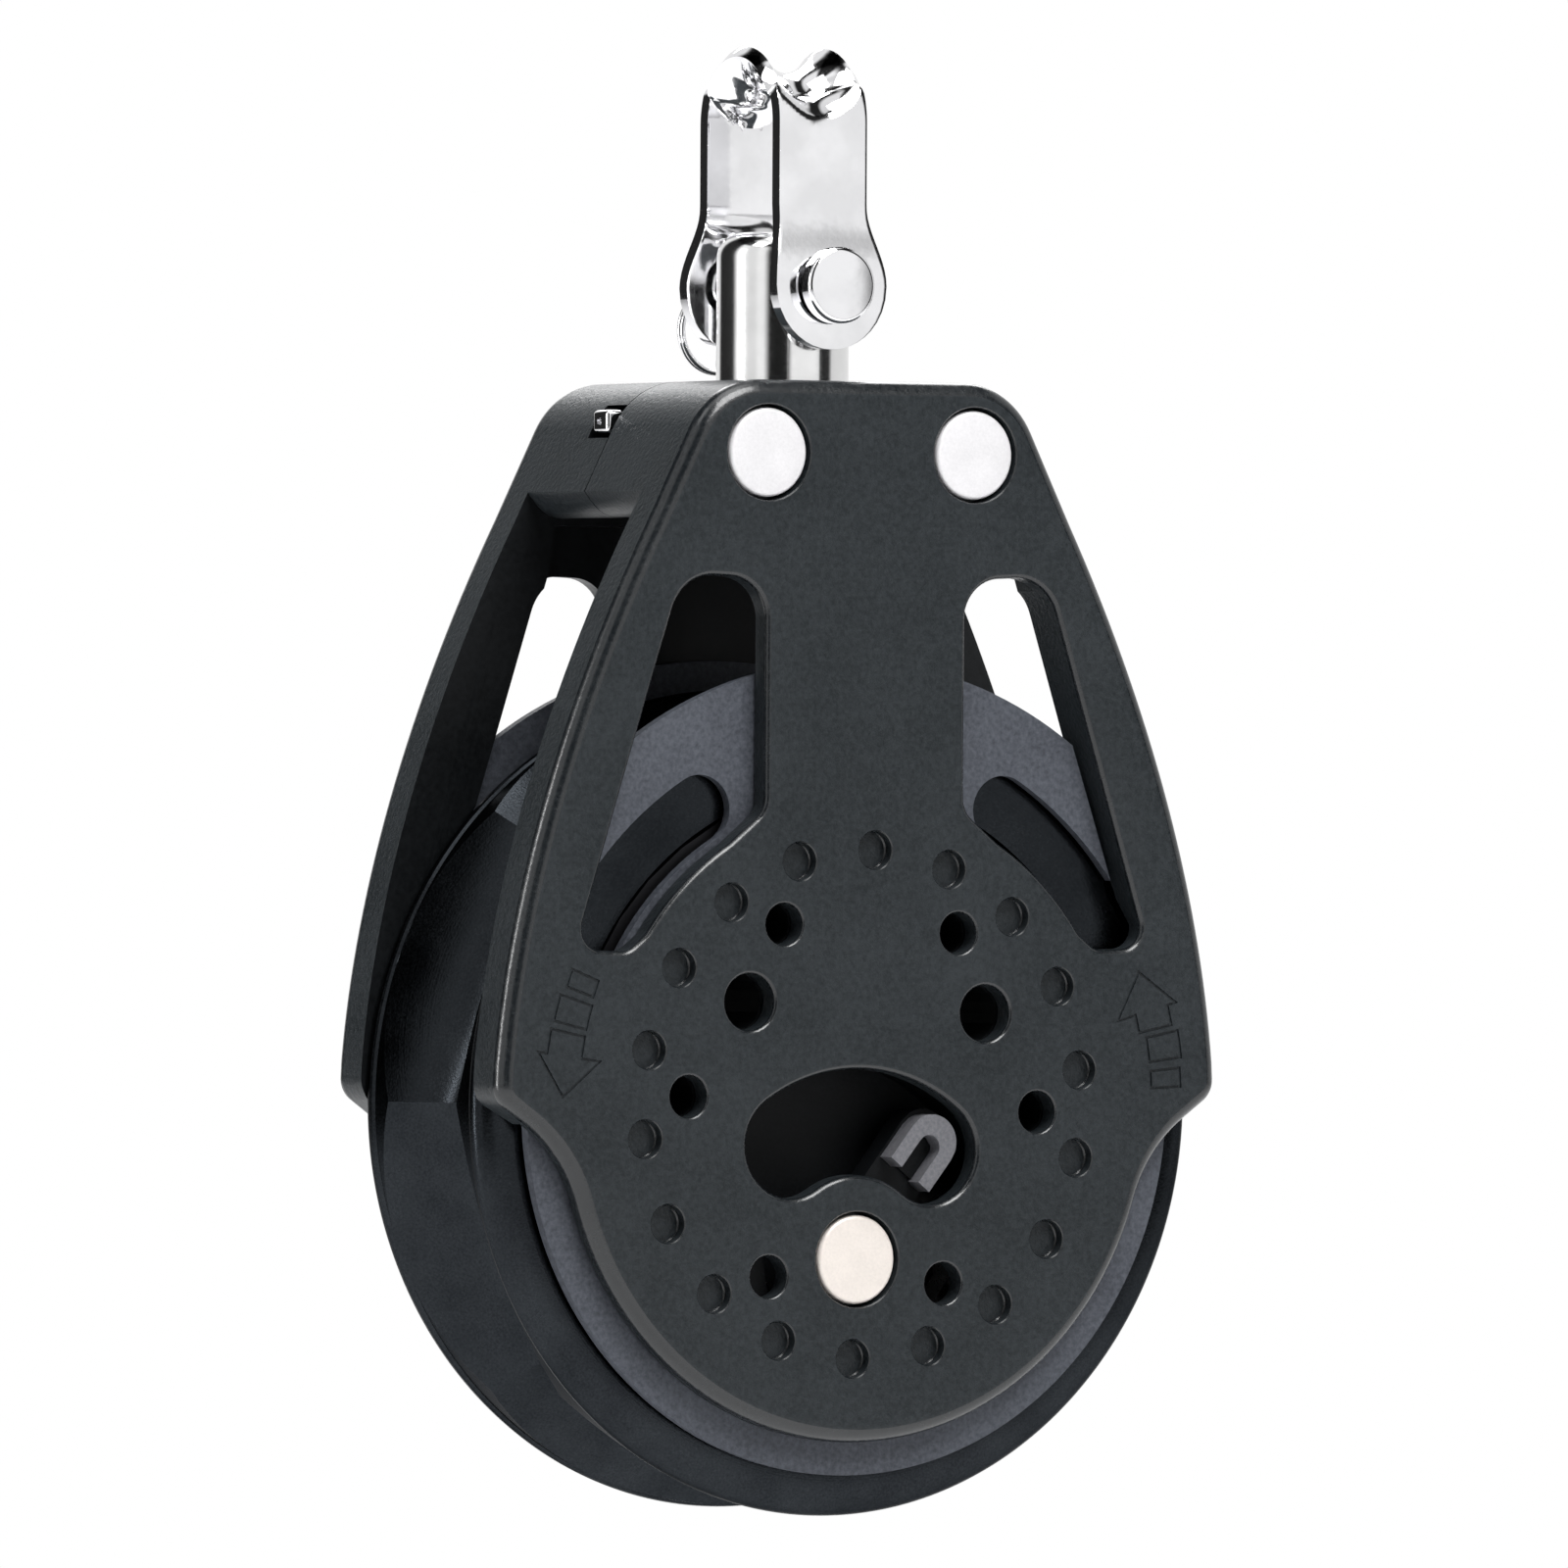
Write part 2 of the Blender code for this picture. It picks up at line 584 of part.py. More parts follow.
def make_switch_lever():
    """Thumb lever at the right end of its slot; its origin is the lower rivet's axis."""
    lean = -math.degrees(SLOT_ANGLE) + math.degrees(HUB_TURN)

    def leaned(points):
        c, s = math.cos(math.radians(lean)), math.sin(math.radians(lean))
        return [(x * c - z * s, x * s + z * c) for x, z in points]

    arm = arc(3.4, 200, 340, 8) + [(2.1, 5.0), (2.15, 10.4)]
    arm += arc(2.15, 20, 160, 6, (0, 10.4)) + [(-2.15, 10.4), (-2.1, 5.0)]
    mesh = flat_solid([leaned(arm), circle(LOW_SHANK_R + CLEAR, (0, 0), 16)], -LEVER_OUT, -LEVER_IN)
    px, pz = on_hub(0, LOW_RIVET_Z)
    lever = add_part("switch_lever", mesh, "switch_plastic", (px, 0, pz))
    tab = [(-1.95, 7.4), (1.95, 7.4), (1.95, 10.2)] + arc(1.95, 20, 160, 6, (0, 10.2)) + [(-1.95, 10.2)]
    cut(lever, flat_solid([leaned(tab)], -TAB_OUT, -LEVER_IN - 0.7), "UNION")
    recess = [(-1.0, 6.0), (1.0, 6.0), (1.0, 9.6)] + arc(1.0, 20, 160, 5, (0, 9.6)) + [(-1.0, 9.6)]
    cut(lever, flat_solid([leaned(recess)], -TAB_OUT - 1, -LEVER_OUT - 0.15))
    return lever


def make_pawl():
    """Spring-loaded pawl beside the teeth; its origin is its own pin."""
    x, z = PAWL_PIVOT
    tip = (8.8 - x, -16.8 - z)
    nose = [(1.9, -0.6), (1.7, -5.2), (0.05, -8.2)]
    outline = [(px, pz) for px, pz in nose] + [tip, (tip[0] - 1.5, tip[1] + 1.9), (-1.5, -4.0)]
    outline += arc(1.9, 190, -10, 10)
    mesh = flat_solid([turn_with_hub(outline), circle(1.2, (0, 0), 14)], -PAWL_OUT, -PAWL_IN)
    px, pz = on_hub(x, z)
    return add_part("pawl", mesh, "satin_steel", (px, 0, pz))


def make_pawl_pin():
    px, pz = on_hub(*PAWL_PIVOT)
    return add_part("pawl_pin", rod(0.9, -9.6, -POCKET_FLOOR - 0.5, 14), "satin_steel", (px, 0, pz))


def wire(name, points, radius, finish, cyclic=False, at=(0, 0, 0)):
    """Bent round wire through points measured from its origin."""
    curve = bpy.data.curves.new(name, "CURVE")
    curve.dimensions = "3D"
    curve.bevel_depth = radius * MM
    curve.bevel_resolution = 2
    curve.use_fill_caps = not cyclic
    spline = curve.splines.new("POLY")
    spline.points.add(len(points) - 1)
    for point, co in zip(spline.points, points):
        point.co = (*(Vector(co) * MM), 1)
    spline.use_cyclic_u = cyclic
    return add_part(name, to_mesh(bpy.data.objects.new(name, curve)), finish, at)


def make_pawl_spring():
    """Hairpin spring lying over the pawl's pin, one leg behind the pawl."""
    loop = [(x, -9.05, z) for x, z in arc(1.45, 60, 250, 9)]
    points = [(2.2, -9.05, 0.6)] + loop + [(-1.2, -9.05, -4.6)]
    px, pz = on_hub(*PAWL_PIVOT)
    return wire("pawl_spring", points, 0.22, "spring_steel", at=(px, 0, pz))


def make_detent_spring():
    """Leaf that holds the lever at either end of its travel."""
    leaf = [(-5.6, -8.6, -12.6), (-5.0, -8.6, -14.2), (-3.2, -8.6, -15.3), (-1.0, -8.6, -15.2),
            (0.6, -8.6, -15.9)]
    points = [(on_hub(x, z)[0], y, on_hub(x, z)[1]) for x, y, z in leaf]
    return wire("detent_spring", points, 0.3, "spring_steel")


# ---------------------------------------------------------------- rivets

def make_rivet(name, x, z, shank):
    """Through rivet with a flush head in the recess of each cheek."""
    under = RIVET_TOP - RIVET_HEAD_T
    profile = [(0, RIVET_TOP), (RIVET_HEAD_R - 0.15, RIVET_TOP), (RIVET_HEAD_R, RIVET_TOP - 0.15),
               (RIVET_HEAD_R, under), (shank, under), (shank, -under), (RIVET_HEAD_R, -under),
               (RIVET_HEAD_R, -RIVET_TOP + 0.15), (RIVET_HEAD_R - 0.15, -RIVET_TOP), (0, -RIVET_TOP)]
    return add_part(name, turned(profile, 18, "Y"), "satin_steel", (x, 0, z))


# ---------------------------------------------------------------- head fitting

def make_headpost():
    """Swivelling post with a retaining flange inside the head."""
    rounding = [(POST_R - 1.7 + x, POST_TOP - 1.7 + z) for x, z in arc(1.7, 90, 0, 3)]
    profile = [(0, POST_TOP)] + rounding
    profile += [(POST_R, 46.4), (POST_FLANGE_R, 46.4), (POST_FLANGE_R, 44.6), (3.4, 44.6),
                (3.4, CAVITY_LOW + CLEAR), (0, CAVITY_LOW + CLEAR)]
    post = add_part("headpost", turned(profile, 26), "polished_steel")
    cut(post, rod(PIN_R + CLEAR, -10, 10, 20, "Y", (0, 0, PIN_Z)))
    return post


def make_washer(name, inner, outer, low, high):
    profile = [(inner, high), (outer, high), (outer, low), (inner, low)]
    return add_part(name, turned(profile, 22), "acetal")


def make_lock_clip():
    """End of the clip that locks the swivel, pushed into the rear head half from the side."""
    mesh = box((-1.75, -1.05, -0.8), (1.75, 1.05, 0.8))
    round_edges(mesh, lambda co: co.x < -1.7, 0.3, 2)
    return add_part("swivel_lock_clip", mesh, "polished_steel", (-11.95, 1.5, 46.95))


def make_clevis_pin():
    """Headed pin through both ears and the headpost, drilled for the split ring."""
    head = EAR_Y + STRAP_T / 2 + CLEAR + PIN_HEAD_T
    profile = [(0, PIN_END), (PIN_R - 0.3, PIN_END), (PIN_R, PIN_END - 0.3),
               (PIN_R, -head + PIN_HEAD_T), (PIN_HEAD_R, -head + PIN_HEAD_T),
               (PIN_HEAD_R, -head + 0.35), (PIN_HEAD_R - 0.35, -head), (0, -head)]
    pin = add_part("clevis_pin", turned(profile, 20, "Y"), "polished_steel", (0, 0, PIN_Z))
    cut(pin, rod(RING_HOLE_R, -5, 5, 14, "X", (0, RING_HOLE_Y, 0)))
    return pin


def make_split_ring():
    """Ring hanging in the pin's cross hole; its origin is the hole's axis."""
    ring, hang = 2.95, 0.15
    points = [(x, 0, z - ring + hang) for x, z in circle(ring, (0, 0), 22)]
    return wire("split_ring", points, 0.4, "polished_steel", cyclic=True, at=(0, RING_HOLE_Y, PIN_Z))


def strap_half_width(height):
    """Half width of a leg at a height above the pin, from the round ear to the plain strap."""
    if height <= 0:
        return math.sqrt(max(EAR_R ** 2 - height ** 2, 0.09))
    blend = min(height / 5.2, 1)
    return EAR_R + (LEG_HALF - EAR_R) * blend * blend * (3 - 2 * blend)


def strap_offset(height):
    """The strap's middle surface from the middle plane: the legs flare out to the ears."""
    blend = min(max(height / 5.8, 0), 1)
    return EAR_Y + (LEG_Y - EAR_Y) * blend * blend * (3 - 2 * blend)


def make_shackle():
    """Bent strap: two eared legs and a bow whose section is a shallow channel."""
    leg_steps, bow_steps, across = 6, 12, 6
    rise = BOW_Z - PIN_Z
    ear = [-EAR_R * math.sin(math.radians(a)) for a in (86, 70, 50, 30, 12)]
    up = ear + [rise * i / leg_steps for i in range(leg_steps)]
    path = [(-strap_offset(h), h, strap_half_width(h), 0.0) for h in up]
    for i in range(bow_steps + 1):
        a = math.pi * i / bow_steps
        sag = BOW_SAG * math.sin(a) ** 0.7
        path.append((-LEG_Y * math.cos(a), rise + LEG_Y * math.sin(a), LEG_HALF, sag))
    path += [(strap_offset(h), h, strap_half_width(h), 0.0) for h in reversed(up)]
    edit = bmesh.new()
    bmesh.ops.create_grid(edit, x_segments=across, y_segments=len(path) - 1, size=1.0)
    for vert in edit.verts:
        u = vert.co.x
        y, z, half, sag = path[round((vert.co.y + 1) / 2 * (len(path) - 1))]
        inward = Vector((0, -y, -max(z - rise, 0))).normalized()
        vert.co = (Vector((u * half, y, z)) + inward * sag * (1 - u * u)) * MM
    mesh = bpy.data.meshes.new("strap")
    edit.to_mesh(mesh)
    edit.free()
    shackle = add_part("shackle", mesh, "polished_steel", (0, 0, PIN_Z))
    solidify = shackle.modifiers.new("thickness", "SOLIDIFY")
    solidify.thickness = STRAP_T * MM
    solidify.offset = 0
    cut(shackle, rod(PIN_R + CLEAR, -10, 10, 20))
    return shackle


# ---------------------------------------------------------------- assembly

def build():
    make_cheek("front_cheek", -1)
    make_cheek("rear_cheek", 1)
    make_liner("front_liner", -1)
    make_liner("rear_liner", 1)
    make_hub()
    make_balls()
    make_sheave()
    make_ratchet_ring()
    make_switch_lever()
    make_pawl()
    make_pawl_pin()
    make_pawl_spring()
    make_detent_spring()
    make_rivet("lower_rivet", *on_hub(0, LOW_RIVET_Z), LOW_SHANK_R)
    for where, x in zip(("left", "right"), TOP_RIVET_XS):
        make_rivet("top_rivet_" + where, x, TOP_RIVET_Z, TOP_SHANK_R)
    make_headpost()
    make_washer("upper_washer", POST_R + CLEAR, POST_FLANGE_R, 46.7, 47.3)
    make_washer("lower_washer", 3.4 + CLEAR, POST_FLANGE_R, 43.5, 44.3)
    make_lock_clip()
    make_clevis_pin()
    make_split_ring()
    make_shackle()


build()
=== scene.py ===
"""Looks of the swivelling ratchet block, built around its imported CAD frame.

Shapes are worked out in millimetres from the sheave's centre, as the frame has it: X to the
right, Y along the sheave's axis away from the switch, Z up along the swivel.
"""
import math

import bmesh
import bpy
from mathutils import Matrix, Vector


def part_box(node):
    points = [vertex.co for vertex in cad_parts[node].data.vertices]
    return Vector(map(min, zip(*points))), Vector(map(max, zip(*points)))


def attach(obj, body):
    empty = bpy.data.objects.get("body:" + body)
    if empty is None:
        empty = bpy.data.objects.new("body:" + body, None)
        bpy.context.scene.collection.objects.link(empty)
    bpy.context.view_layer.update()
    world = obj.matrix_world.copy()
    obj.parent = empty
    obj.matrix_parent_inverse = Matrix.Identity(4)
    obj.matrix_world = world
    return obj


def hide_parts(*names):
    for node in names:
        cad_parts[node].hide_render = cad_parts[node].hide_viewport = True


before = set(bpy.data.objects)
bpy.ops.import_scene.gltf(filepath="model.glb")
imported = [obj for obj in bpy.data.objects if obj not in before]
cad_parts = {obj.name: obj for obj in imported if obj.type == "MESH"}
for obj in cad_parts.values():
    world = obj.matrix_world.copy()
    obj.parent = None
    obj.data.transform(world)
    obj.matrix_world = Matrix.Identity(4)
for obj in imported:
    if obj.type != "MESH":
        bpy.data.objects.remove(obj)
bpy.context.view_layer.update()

MM = 0.001
SHEAVE_LOW, SHEAVE_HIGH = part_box("sheave")
CENTRE = (SHEAVE_LOW + SHEAVE_HIGH) / 2
SHEAVE_R = (SHEAVE_HIGH.x - SHEAVE_LOW.x) / 2 / MM
CHEEK_OUT = -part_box("front_cheek")[0].y / MM
HEAD_TOP = (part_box("front_cheek")[1].z - CENTRE.z) / MM
PIN_Z = ((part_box("clevis_pin")[0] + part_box("clevis_pin")[1]) / 2 - CENTRE).z / MM
HUB_TURN = math.radians(-2.6)

# Camera, measured from the sheave's centre
VIEW_AZIMUTH, VIEW_ELEVATION, VIEW_ROLL = -30.51, 0.18, 0.32
VIEW_DISTANCE, VIEW_LENS, VIEW_SENSOR = 1088.3, 360, 36
VIEW_AIM = (0.28, -0.09, 21.97)
FLOOR_DROP, FLOOR_R = 92, 1000

# Studio as the metal mirrors it: grey by azimuth in degrees from +X, and by height
AZIMUTH_GREYS = ((-180, 0.72), (-170, 0.75), (-162, 0.92), (-153, 0.92), (-143, 0.01), (-112, 0.01),
                 (-104, 0.92), (-55, 0.92), (-50, 0.02), (-31, 0.02), (-25, 0.7), (50, 0.85), (95, 0.85),
                 (104, 0.02), (144, 0.02), (153, 0.95), (164, 0.95), (172, 0.75), (180, 0.72))
HEIGHT_GREYS = ((-1, 0.5), (-0.3, 0.8), (-0.2, 1), (0.62, 1), (0.7, 0.02), (0.85, 0.02), (0.9, 1), (1, 1))
ROOM_LIGHT, FLOOR_GLOW = 0.08, 0.14
LIGHT_AIM_Z = 15

# Cheeks: distances in Y are from the middle plane
CHEEK_IN, SKIRT_IN, PARTING, PAST = 10.1, 7.9, 0.05, 1.0
THROAT_Z, DISC_R = 41.2, 23.3
WHEEL_ROOM = 0.5
EDGE_ROUND, HOLE_ROUND = 1.15, 0.42
WINDOW_TOP, WINDOW_LOW = (14.6, 36.4), (22.85, 10.7)
DIMPLE_R, DIMPLE_RING, DIMPLES, DIMPLE_DEPTH = 1.32, 17.5, 18, 0.95
SMALL_R, SMALL_RING, SMALL_HOLES, SMALL_ROUND = 1.45, 13.96, 6, 0.22
LARGE_R, LARGE_PLACE, LARGE_ROUND = 1.95, (9.43, 6.65), 0.3
ARROW_LINE, ARROW_DEPTH = 0.2, 0.12
LOW_RIVET = (0, -10.68)
TOP_RIVETS = ((-7.85, 44.75), (8.65, 44.75))
RIVET_HEAD_R, RIVET_HEAD_T, RIVET_SUNK, RECESS_GAP = 3.06, 0.85, 0.08, 0.25
LOW_SHANK_R, TOP_SHANK_R = 1.6, 1.1
POST_R, POST_TOP = 4.6, 60.2
CAVITY_R, CAVITY_LOW, CAVITY_HIGH = 6.1, 43.2, 47.6
SLOT_RING, SLOT_HALF, SLOT_ANGLE = 9.45, 3.65, 36
CLEAR = 0.3

# Shackle
STRAP_T, LEG_HALF, EAR_R, EAR_Y, LEG_Y = 1.0, 3.5, 4.4, 6.2, 4.95
BOW_Z, BOW_SAG, BOW_RUN_OUT = 67.75, 1.9, 0.52
PIN_R, PIN_HEAD_R, PIN_HEAD_T, PIN_END, RING_HOLE_Y = 1.7, 2.65, 1.25, 10.4, 8.9


# ---------------------------------------------------------------- node materials

class Nodes:
    """A material with its Principled shader and short ways to add nodes to it."""

    def __init__(self, name, roughness, metallic=0.0, specular=0.5):
        self.material = bpy.data.materials.new(name)
        self.material.use_nodes = True
        self.tree = self.material.node_tree
        self.shader = self.tree.nodes["Principled BSDF"]
        self.shader.inputs["Metallic"].default_value = metallic
        self.shader.inputs["Roughness"].default_value = roughness
        self.shader.inputs["Specular IOR Level"].default_value = specular
        self.place = self.add("ShaderNodeTexCoord").outputs["Object"]

    def add(self, kind, **values):
        node = self.tree.nodes.new(kind)
        for key, value in values.items():
            setattr(node, key, value)
        return node

    def link(self, output, target):
        self.tree.links.new(output, target)

    def stretched(self, scale):
        mapping = self.add("ShaderNodeMapping")
        mapping.inputs["Scale"].default_value = scale
        self.link(self.place, mapping.inputs["Vector"])
        return mapping.outputs["Vector"]

    def noise(self, size, detail=2.0, where=None, rough=0.5):
        """Noise whose blobs are about 'size' millimetres across."""
        node = self.add("ShaderNodeTexNoise")
        node.inputs["Scale"].default_value = 1 / (size * MM)
        node.inputs["Detail"].default_value = detail
        node.inputs["Roughness"].default_value = rough
        self.link(where or self.place, node.inputs["Vector"])
        return node.outputs["Fac"]

    def ramp(self, value, stops):
        node = self.add("ShaderNodeValToRGB")
        band = node.color_ramp
        while len(band.elements) < len(stops):
            band.elements.new(0.5)
        for element, (place, colour) in zip(band.elements, stops):
            element.position = place
            element.color = (*colour, 1.0) if len(colour) == 3 else (colour[0],) * 3 + (1.0,)
        self.link(value, node.inputs["Fac"])
        return node.outputs["Color"]

    def span(self, value, low, high, out_low, out_high):
        node = self.add("ShaderNodeMapRange")
        limits = {"From Min": low, "From Max": high, "To Min": out_low, "To Max": out_high}
        for key, number in limits.items():
            node.inputs[key].default_value = number
        self.link(value, node.inputs["Value"])
        return node.outputs["Result"]

    def maths(self, operation, first, second=None):
        node = self.add("ShaderNodeMath", operation=operation)
        for socket, value in zip(node.inputs, (first, second)):
            if isinstance(value, (int, float)):
                socket.default_value = value
            elif value is not None:
                self.link(value, socket)
        return node.outputs["Value"]

    def bump(self, height, depth, after=None):
        """Bump whose full height range is 'depth' millimetres."""
        node = self.add("ShaderNodeBump")
        node.inputs["Strength"].default_value = 1.0
        node.inputs["Distance"].default_value = depth * MM
        self.link(height, node.inputs["Height"])
        if after:
            self.link(after, node.inputs["Normal"])
        self.link(node.outputs["Normal"], self.shader.inputs["Normal"])
        return node.outputs["Normal"]

    def radius_from_axis(self):
        """Distance from the sheave's axis, in millimetres."""
        parts = self.add("ShaderNodeSeparateXYZ")
        self.link(self.place, parts.inputs["Vector"])
        across = self.maths("MULTIPLY", parts.outputs["X"], parts.outputs["X"])
        raised = self.maths("SUBTRACT", parts.outputs["Z"], float(CENTRE.z))
        up = self.maths("MULTIPLY", raised, raised)
        return self.maths("MULTIPLY", self.maths("SQRT", self.maths("ADD", across, up)), 1 / MM)


def moulded_plastic(name, dark, light, grain, roughness, specular, depth=0.02):
    """Glass-filled moulding: fine grain, slight blotches and a broken sheen."""
    m = Nodes(name, roughness, specular=specular)
    fine = m.noise(grain, 3.0, rough=0.65)
    broad = m.noise(7.0, 3.0)
    mixed = m.maths("ADD", m.maths("MULTIPLY", fine, 0.72), m.maths("MULTIPLY", broad, 0.28))
    m.link(m.ramp(mixed, ((0.36, dark), (0.64, light))), m.shader.inputs["Base Color"])
    rough = m.maths("ADD", m.maths("MULTIPLY", fine, 0.6), m.maths("MULTIPLY", broad, 0.4))
    m.link(m.span(rough, 0.3, 0.7, roughness - 0.08, roughness + 0.1), m.shader.inputs["Roughness"])
    m.bump(fine, depth)
    return m.material


def anodised(name):
    """Hard black anodising over a turned surface: fine rings, dull bloom, a little dust grain."""
    m = Nodes(name, 0.27, metallic=1.0)
    m.shader.inputs["Specular Tint"].default_value = (0.5, 0.5, 0.5, 1)
    radius = m.radius_from_axis()
    lines = m.add("ShaderNodeTexNoise", noise_dimensions="1D")
    lines.inputs["Scale"].default_value = 9.0
    lines.inputs["Detail"].default_value = 4.0
    m.link(radius, lines.inputs["W"])
    bloom = m.noise(5.0, 3.0)
    grain = m.noise(0.16, 2.0)
    tone = m.maths("ADD", m.maths("MULTIPLY", bloom, 0.5), m.maths("MULTIPLY", grain, 0.5))
    m.link(m.ramp(tone, ((0.35, (0.014, 0.016, 0.0185)), (0.65, (0.028, 0.0315, 0.0355)))),
           m.shader.inputs["Base Color"])
    m.link(m.span(tone, 0.35, 0.65, 0.17, 0.28), m.shader.inputs["Roughness"])
    turned_marks = m.bump(lines.outputs["Fac"], 0.004)
    m.bump(grain, 0.008, after=turned_marks)
    return m.material


def steel(name, roughness, tint, grain, streak=None, depth=0.0012):
    """Stainless steel: faint tint changes, a broken polish and fine directional marks."""
    m = Nodes(name, roughness, metallic=1.0)
    cloud = m.noise(3.5, 3.0)
    light = tuple(min(c * 1.05, 0.97) for c in tint)
    dark = tuple(c * 0.93 for c in tint)
    m.link(m.ramp(cloud, ((0.35, dark), (0.65, light))), m.shader.inputs["Base Color"])
    marks = m.noise(grain, 2.0, m.stretched(streak) if streak else None)
    m.link(m.span(marks, 0.3, 0.7, max(roughness - 0.04, 0.02), roughness + 0.05),
           m.shader.inputs["Roughness"])
    m.bump(marks, depth)
    return m.material


def rivet_steel(name, tint):
    """Rivet head: a soft satin ground with a blasted grain and slight cloudiness."""
    m = Nodes(name, 0.34, metallic=0.25)
    grain = m.noise(0.22, 3.0, rough=0.7)
    cloud = m.noise(2.2, 2.0)
    tone = m.maths("ADD", m.maths("MULTIPLY", grain, 0.6), m.maths("MULTIPLY", cloud, 0.4))
    dark = tuple(c * 0.9 for c in tint)
    m.link(m.ramp(tone, ((0.35, dark), (0.62, tint))), m.shader.inputs["Base Color"])
    m.link(m.span(tone, 0.3, 0.7, 0.28, 0.46), m.shader.inputs["Roughness"])
    m.bump(grain, 0.006)
    return m.material


def make_materials():
    return {
        "black_plastic": moulded_plastic("black_plastic", (0.0105, 0.0135, 0.0155), (0.023, 0.0275, 0.031),
                                         0.32, 0.36, 0.27, 0.05),
        # Rounded edges: smoother and glossier, with a darker colour that is painted shade.
        "glossy_shaded_edge_plastic": moulded_plastic("glossy_shaded_edge_plastic", (0.006, 0.0075, 0.009), (0.0125, 0.015, 0.017),
                                          0.32, 0.22, 0.6, 0.012),
        # Near-black plastic for the cheeks' inward faces: painted shade between the cheeks.
        "shaded_inner_plastic": moulded_plastic("shaded_inner_plastic", (0.003, 0.0035, 0.004), (0.006, 0.007, 0.008),
                                         0.4, 0.4, 0.2, 0.01),
        "liner_plastic": moulded_plastic("liner_plastic", (0.038, 0.042, 0.053), (0.083, 0.091, 0.109),
                                         0.34, 0.58, 0.35, 0.02),
        "switch_plastic": moulded_plastic("switch_plastic", (0.1, 0.102, 0.112), (0.17, 0.17, 0.185),
                                          0.25, 0.5, 0.4, 0.012),
        # Near-black plastic for the lever arm and hub core, seen in the slot: painted shade.
        "shaded_arm_plastic": moulded_plastic("shaded_arm_plastic", (0.002, 0.0024, 0.003), (0.005, 0.006, 0.007),
                                       0.25, 0.5, 0.15, 0.012),
        "acetal": moulded_plastic("acetal", (0.66, 0.64, 0.58), (0.78, 0.77, 0.73), 0.5, 0.38, 0.5, 0.004),
        "anodised": anodised("anodised"),
        "polished_steel": steel("polished_steel", 0.07, (0.9, 0.9, 0.915), 0.5),
        "turned_steel": steel("turned_steel", 0.12, (0.9, 0.9, 0.9), 0.3, (1, 1, 6)),
        "satin_steel": steel("satin_steel", 0.3, (0.72, 0.71, 0.7), 0.15, None, 0.003),
        "spring_steel": steel("spring_steel", 0.26, (0.55, 0.55, 0.56), 0.2, (6, 1, 1), 0.002),
        "blackened_steel": steel("blackened_steel", 0.4, (0.03, 0.03, 0.033), 0.2, None, 0.003),
        "bright_rivet": rivet_steel("bright_rivet", (0.84, 0.83, 0.845)),
        "warm_rivet": rivet_steel("warm_rivet", (0.84, 0.775, 0.72)),
    }


MATERIALS = make_materials()


# ---------------------------------------------------------------- outlines

def arc(radius, start, end, steps, centre=(0, 0)):
    angles = [math.radians(start + (end - start) * i / steps) for i in range(steps + 1)]
    return [(centre[0] + radius * math.cos(a), centre[1] + radius * math.sin(a)) for a in angles]


def circle(radius, centre=(0, 0), count=40):
    return arc(radius, 0, 360, count, centre)[:-1]


def polar(radius, degrees):
    return arc(radius, degrees, 0, 1)[0]


def bezier(a, b, c, d, steps):
    points = []
    for i in range(steps + 1):
        t = i / steps
        weights = ((1 - t) ** 3, 3 * t * (1 - t) ** 2, 3 * t * t * (1 - t), t ** 3)
        points.append(tuple(sum(w * p[k] for w, p in zip(weights, (a, b, c, d))) for k in (0, 1)))
    return points


def fillet(before, corner, after, radius, steps=10):
    """Rounds one corner of an outline."""
    corner = Vector(corner)
    to_before = (Vector(before) - corner).normalized()
    to_after = (Vector(after) - corner).normalized()
    half = to_before.angle(to_after) / 2
    middle = corner + (to_before + to_after).normalized() * (radius / math.sin(half))
    start = (corner + to_before * (radius / math.tan(half))) - middle
    end = (corner + to_after * (radius / math.tan(half))) - middle
    sweep = start.angle_signed(end)
    return [tuple(middle + Matrix.Rotation(-sweep * i / steps, 2) @ start) for i in range(steps + 1)]


def mirrored(points):
    return [(-x, z) for x, z in reversed(points)]


def on_hub(x, z):
    c, s = math.cos(HUB_TURN), math.sin(HUB_TURN)
    return (x * c - z * s, x * s + z * c)


def offset(points, distance):
    """The outline moved to its left by a distance; a counter-clockwise one shrinks."""
    moved = []
    count = len(points)
    for i, point in enumerate(points):
        here = Vector(point)
        before = (here - Vector(points[i - 1])).normalized()
        after = (Vector(points[(i + 1) % count]) - here).normalized()
        along = (before + after).normalized()
        reach = distance / max(along.dot(after), 0.5)
        moved.append(tuple(here + Vector((-along.y, along.x)) * reach))
    return moved


def side_curve(steps=30):
    return bezier((28.65, 2.7), (27.7, 13.8), (23.8, 26.8), (16.7, 40.2), steps)


def cheek_outline():
    hollow, flank, shoulder = (23.4, -3.27), (24.2, -2.7), (28.75, 0.55)
    side = side_curve()
    half = arc(DISC_R, -90, -17.5, 42)
    half += fillet(half[-1], hollow, flank, 10.5, 12)
    half += fillet(flank, shoulder, side[0], 1.9, 9)
    half += side
    half += fillet(side[-1], (11.9, HEAD_TOP), (0, HEAD_TOP), 6.0, 14)
    return half + mirrored(half)[:-1]


def window_outline():
    inner_low, inner_top, corner = (7.95, 20.2), (7.95, 36.1), (18.75, 10.55)
    low = arc(20.9, 34, 59, 12)
    points = fillet(low[0], corner, WINDOW_LOW, 1.6, 8)
    points += fillet(corner, WINDOW_LOW, WINDOW_TOP, 1.5, 8)
    points += fillet(WINDOW_LOW, WINDOW_TOP, inner_top, 3.4, 12)
    points += fillet(WINDOW_TOP, inner_top, inner_low, 2.9, 12)
    points += fillet(inner_top, inner_low, low[-1], 2.0, 8)
    return points + list(reversed(low))


